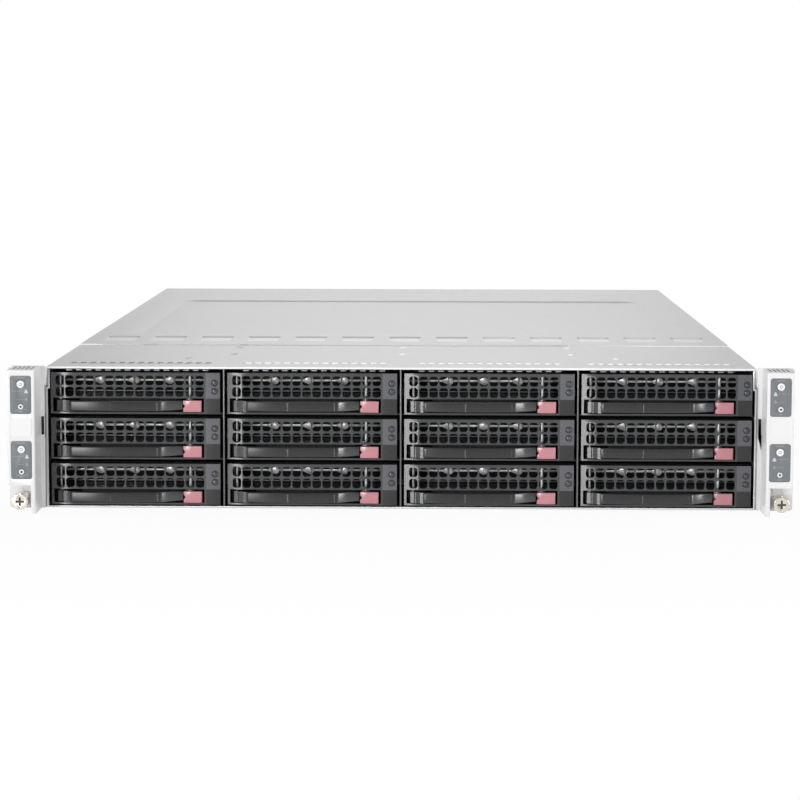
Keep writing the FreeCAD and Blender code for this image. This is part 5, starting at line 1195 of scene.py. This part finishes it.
ear_white = finish("white_ear_paint", (0.77, 0.77, 0.775), 0.32, wander=0.02, fine=2200, depth=0.010,
                   patch=20, unevenness=0.05)
ear_top_painted_shade = finish("painted_shade_top_of_ear", (0.55, 0.55, 0.56), 0.4, wander=0.03, fine=2200, depth=0.01)
overlay = finish("grey_overlay", (0.165, 0.178, 0.192), 0.42, wander=0.05, fine=2600, depth=0.006,
                 patch=60)
print_white = finish("white_print", (0.55, 0.57, 0.58), 0.5, wander=0.03, fine=3000, depth=0.0)
print_faint = finish("faint_print", (0.26, 0.275, 0.285), 0.5, wander=0.03, fine=3000, depth=0.0)
zinc_screw = finish("zinc_screw", (0.74, 0.74, 0.75), 0.3, metal=1.0, fine=2000, depth=0.004)
for ear, side in EARS:
    piece(f"{ear}_bracket", cut_from(ear, is_bracket), ear_white, "server_frame", [ear], 0.25)
    bm = cut_from(ear, is_housing)
    for face in bm.faces:
        spot = face.calc_center_median() / MM
        across = abs(abs(spot.x) - EAR_MIDDLE) < LABEL_HALF[0] + LABEL_SLACK
        up = min(abs(spot.z - z) for z in LABEL_CENTRES) < LABEL_HALF[1] + LABEL_SLACK
        if across and up and abs(spot.y - HOUSING_FACE) < FACE_SLACK:
            face.material_index = 1
        # Up-facing faces near the housing's top are painted grey: painted shade.
        if face.normal.z > FACING_UP and face.calc_center_median().z > EAR_TOP_SHADE * MM:
            face.material_index = 2
    piece(f"{ear}_housing", bm, (ear_white, overlay, ear_top_painted_shade), "server_frame", edge=0.12)
    piece(f"{ear}_board", cut_from(ear, is_ear_board), board_green, "server_frame")
    piece(f"{ear}_screws", cut_from(ear, is_ear_screw), zinc_screw, "server_frame", edge=0.3)
    marks, faint = bmesh.new(), bmesh.new()
    for centre in LABEL_CENTRES:
        x = side * (EAR_MIDDLE - ICON_INWARD)
        for bm, (above, size) in ((marks, BRIGHT_ICON), (faint, FAINT_ICON)):
            z = centre + above
            foot, top = z - ICON_FOOT[1] * size, z + ICON_TOP[1] * size
            printed(bm, [(x - ICON_FOOT[0] * size, foot), (x + ICON_FOOT[0] * size, foot),
                         (x + ICON_TOP[0], top), (x - ICON_TOP[0], top)])
        for start, end, above in LINES:
            ends = sorted((side * (EAR_MIDDLE - start), side * (EAR_MIDDLE - end)))
            dash(faint, *ends, centre + above, LINE_HALF)
        middle = side * EAR_MIDDLE
        for half_wide, above, half_high in END_MARKS:
            dash(faint, middle - half_wide, middle + half_wide, centre + above, half_high)
    piece(f"{ear}_marks", placed(marks), print_white, "server_frame")
    piece(f"{ear}_faint_marks", placed(faint), print_faint, "server_frame")
# A near black block fills the slot in the side wall beside each ear: painted shade for the dark hole.
slot_painted_shade = finish("painted_shade_slot", (0.015, 0.015, 0.016), 0.6, wander=0.1, fine=1500, depth=0.02)
for ear, side in EARS:
    bm = bmesh.new()
    ends = sorted((side * SLOT_SHADE_LOW[0], side * SLOT_SHADE_HIGH[0]))
    block(bm, (ends[0], *SLOT_SHADE_LOW[1:]), (ends[1], *SLOT_SHADE_HIGH[1:]))
    piece(f"{ear}_slot_shade_block", placed(bm), slot_painted_shade, "server_frame")
bm = bmesh.new()
outline = round_corners(-EAR_MIDDLE - PLATE_HALF[0], -EAR_MIDDLE + PLATE_HALF[0],
                        PLATE_CENTRE - PLATE_HALF[1], PLATE_CENTRE + PLATE_HALF[1], PLATE_CORNER)
prism(bm, outline, HOUSING_FACE - PLATE_PROUD, HOUSING_FACE + PLATE_SUNK)
piece("left_ear_plate", placed(bm), ear_white, "server_frame", edge=0.1)

# ---------------------------------------------------------------- buttons and rack screws
# White caps press in through the overlays: the larger ones carry a grey ring mark, the smaller a
# dark dot. Nickel-plated thumb screws at the foot of each ear turn in the flange.

RING_MARK = (0.62, 0.98)
DOT_MARK = 0.72
MARK_PROUD = 0.03
MARK_SUNK = 0.2
SCREW_EDGE = 0.12
SCREW_RECESS = (0.1, 2.2)
SCREW_RECESS_ROUND = 3.2

cap_white = finish("white_button", (0.84, 0.84, 0.84), 0.34, wander=0.02, fine=2200, depth=0.006)
mark_grey = finish("grey_button_mark", (0.19, 0.20, 0.215), 0.45, wander=0.05, fine=2600, depth=0.0)
mark_dark = finish("dark_button_mark", (0.035, 0.035, 0.04), 0.45, wander=0.05, fine=2600, depth=0.0)
recess_painted_shade = finish("painted_shade_screw_recess", (0.16, 0.13, 0.10), 0.4, wander=0.1, fine=1500, depth=0.003)
nickel_plate = finish("nickel_plate", (0.74, 0.70, 0.63), 0.24, metal=1.0, wander=0.03, fine=1500,
                      depth=0.003)
for side_name in ("left", "right"):
    for kind, material in (("power", mark_grey), ("ident", mark_dark)):
        for number in (1, 2):
            body = f"{side_name}_{kind}_button_{number}"
            piece(f"{body}_cap", cut_from(body), cap_white, body, [body])
            low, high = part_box(body)
            middle = (low + high) / 2 / MM
            inner, outer = RING_MARK if kind == "power" else (0, DOT_MARK)
            outline = [(inner, -MARK_PROUD), (outer, -MARK_PROUD), (outer, MARK_SUNK), (inner, MARK_SUNK)]
            if inner:
                outline.append(outline[0])
            bm = bmesh.new()
            turned(bm, outline, (middle.x, low.y / MM, middle.z))
            piece(f"{body}_mark", placed(bm), material, body)
    body = f"{side_name}_rack_screw"
    bm = cut_from(body)
    low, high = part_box(body)
    # Faces inside the head's cross recess are painted dark brown: painted shade.
    for face in bm.faces:
        spot = face.calc_center_median()
        in_depth = low.y + SCREW_RECESS[0] * MM < spot.y < low.y + SCREW_RECESS[1] * MM
        if in_depth and (spot - (low + high) / 2).xz.length < SCREW_RECESS_ROUND * MM:
            face.material_index = 1
    piece(f"{body}_metal", bm, (nickel_plate, recess_painted_shade), body, [body], SCREW_EDGE)

low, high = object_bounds()
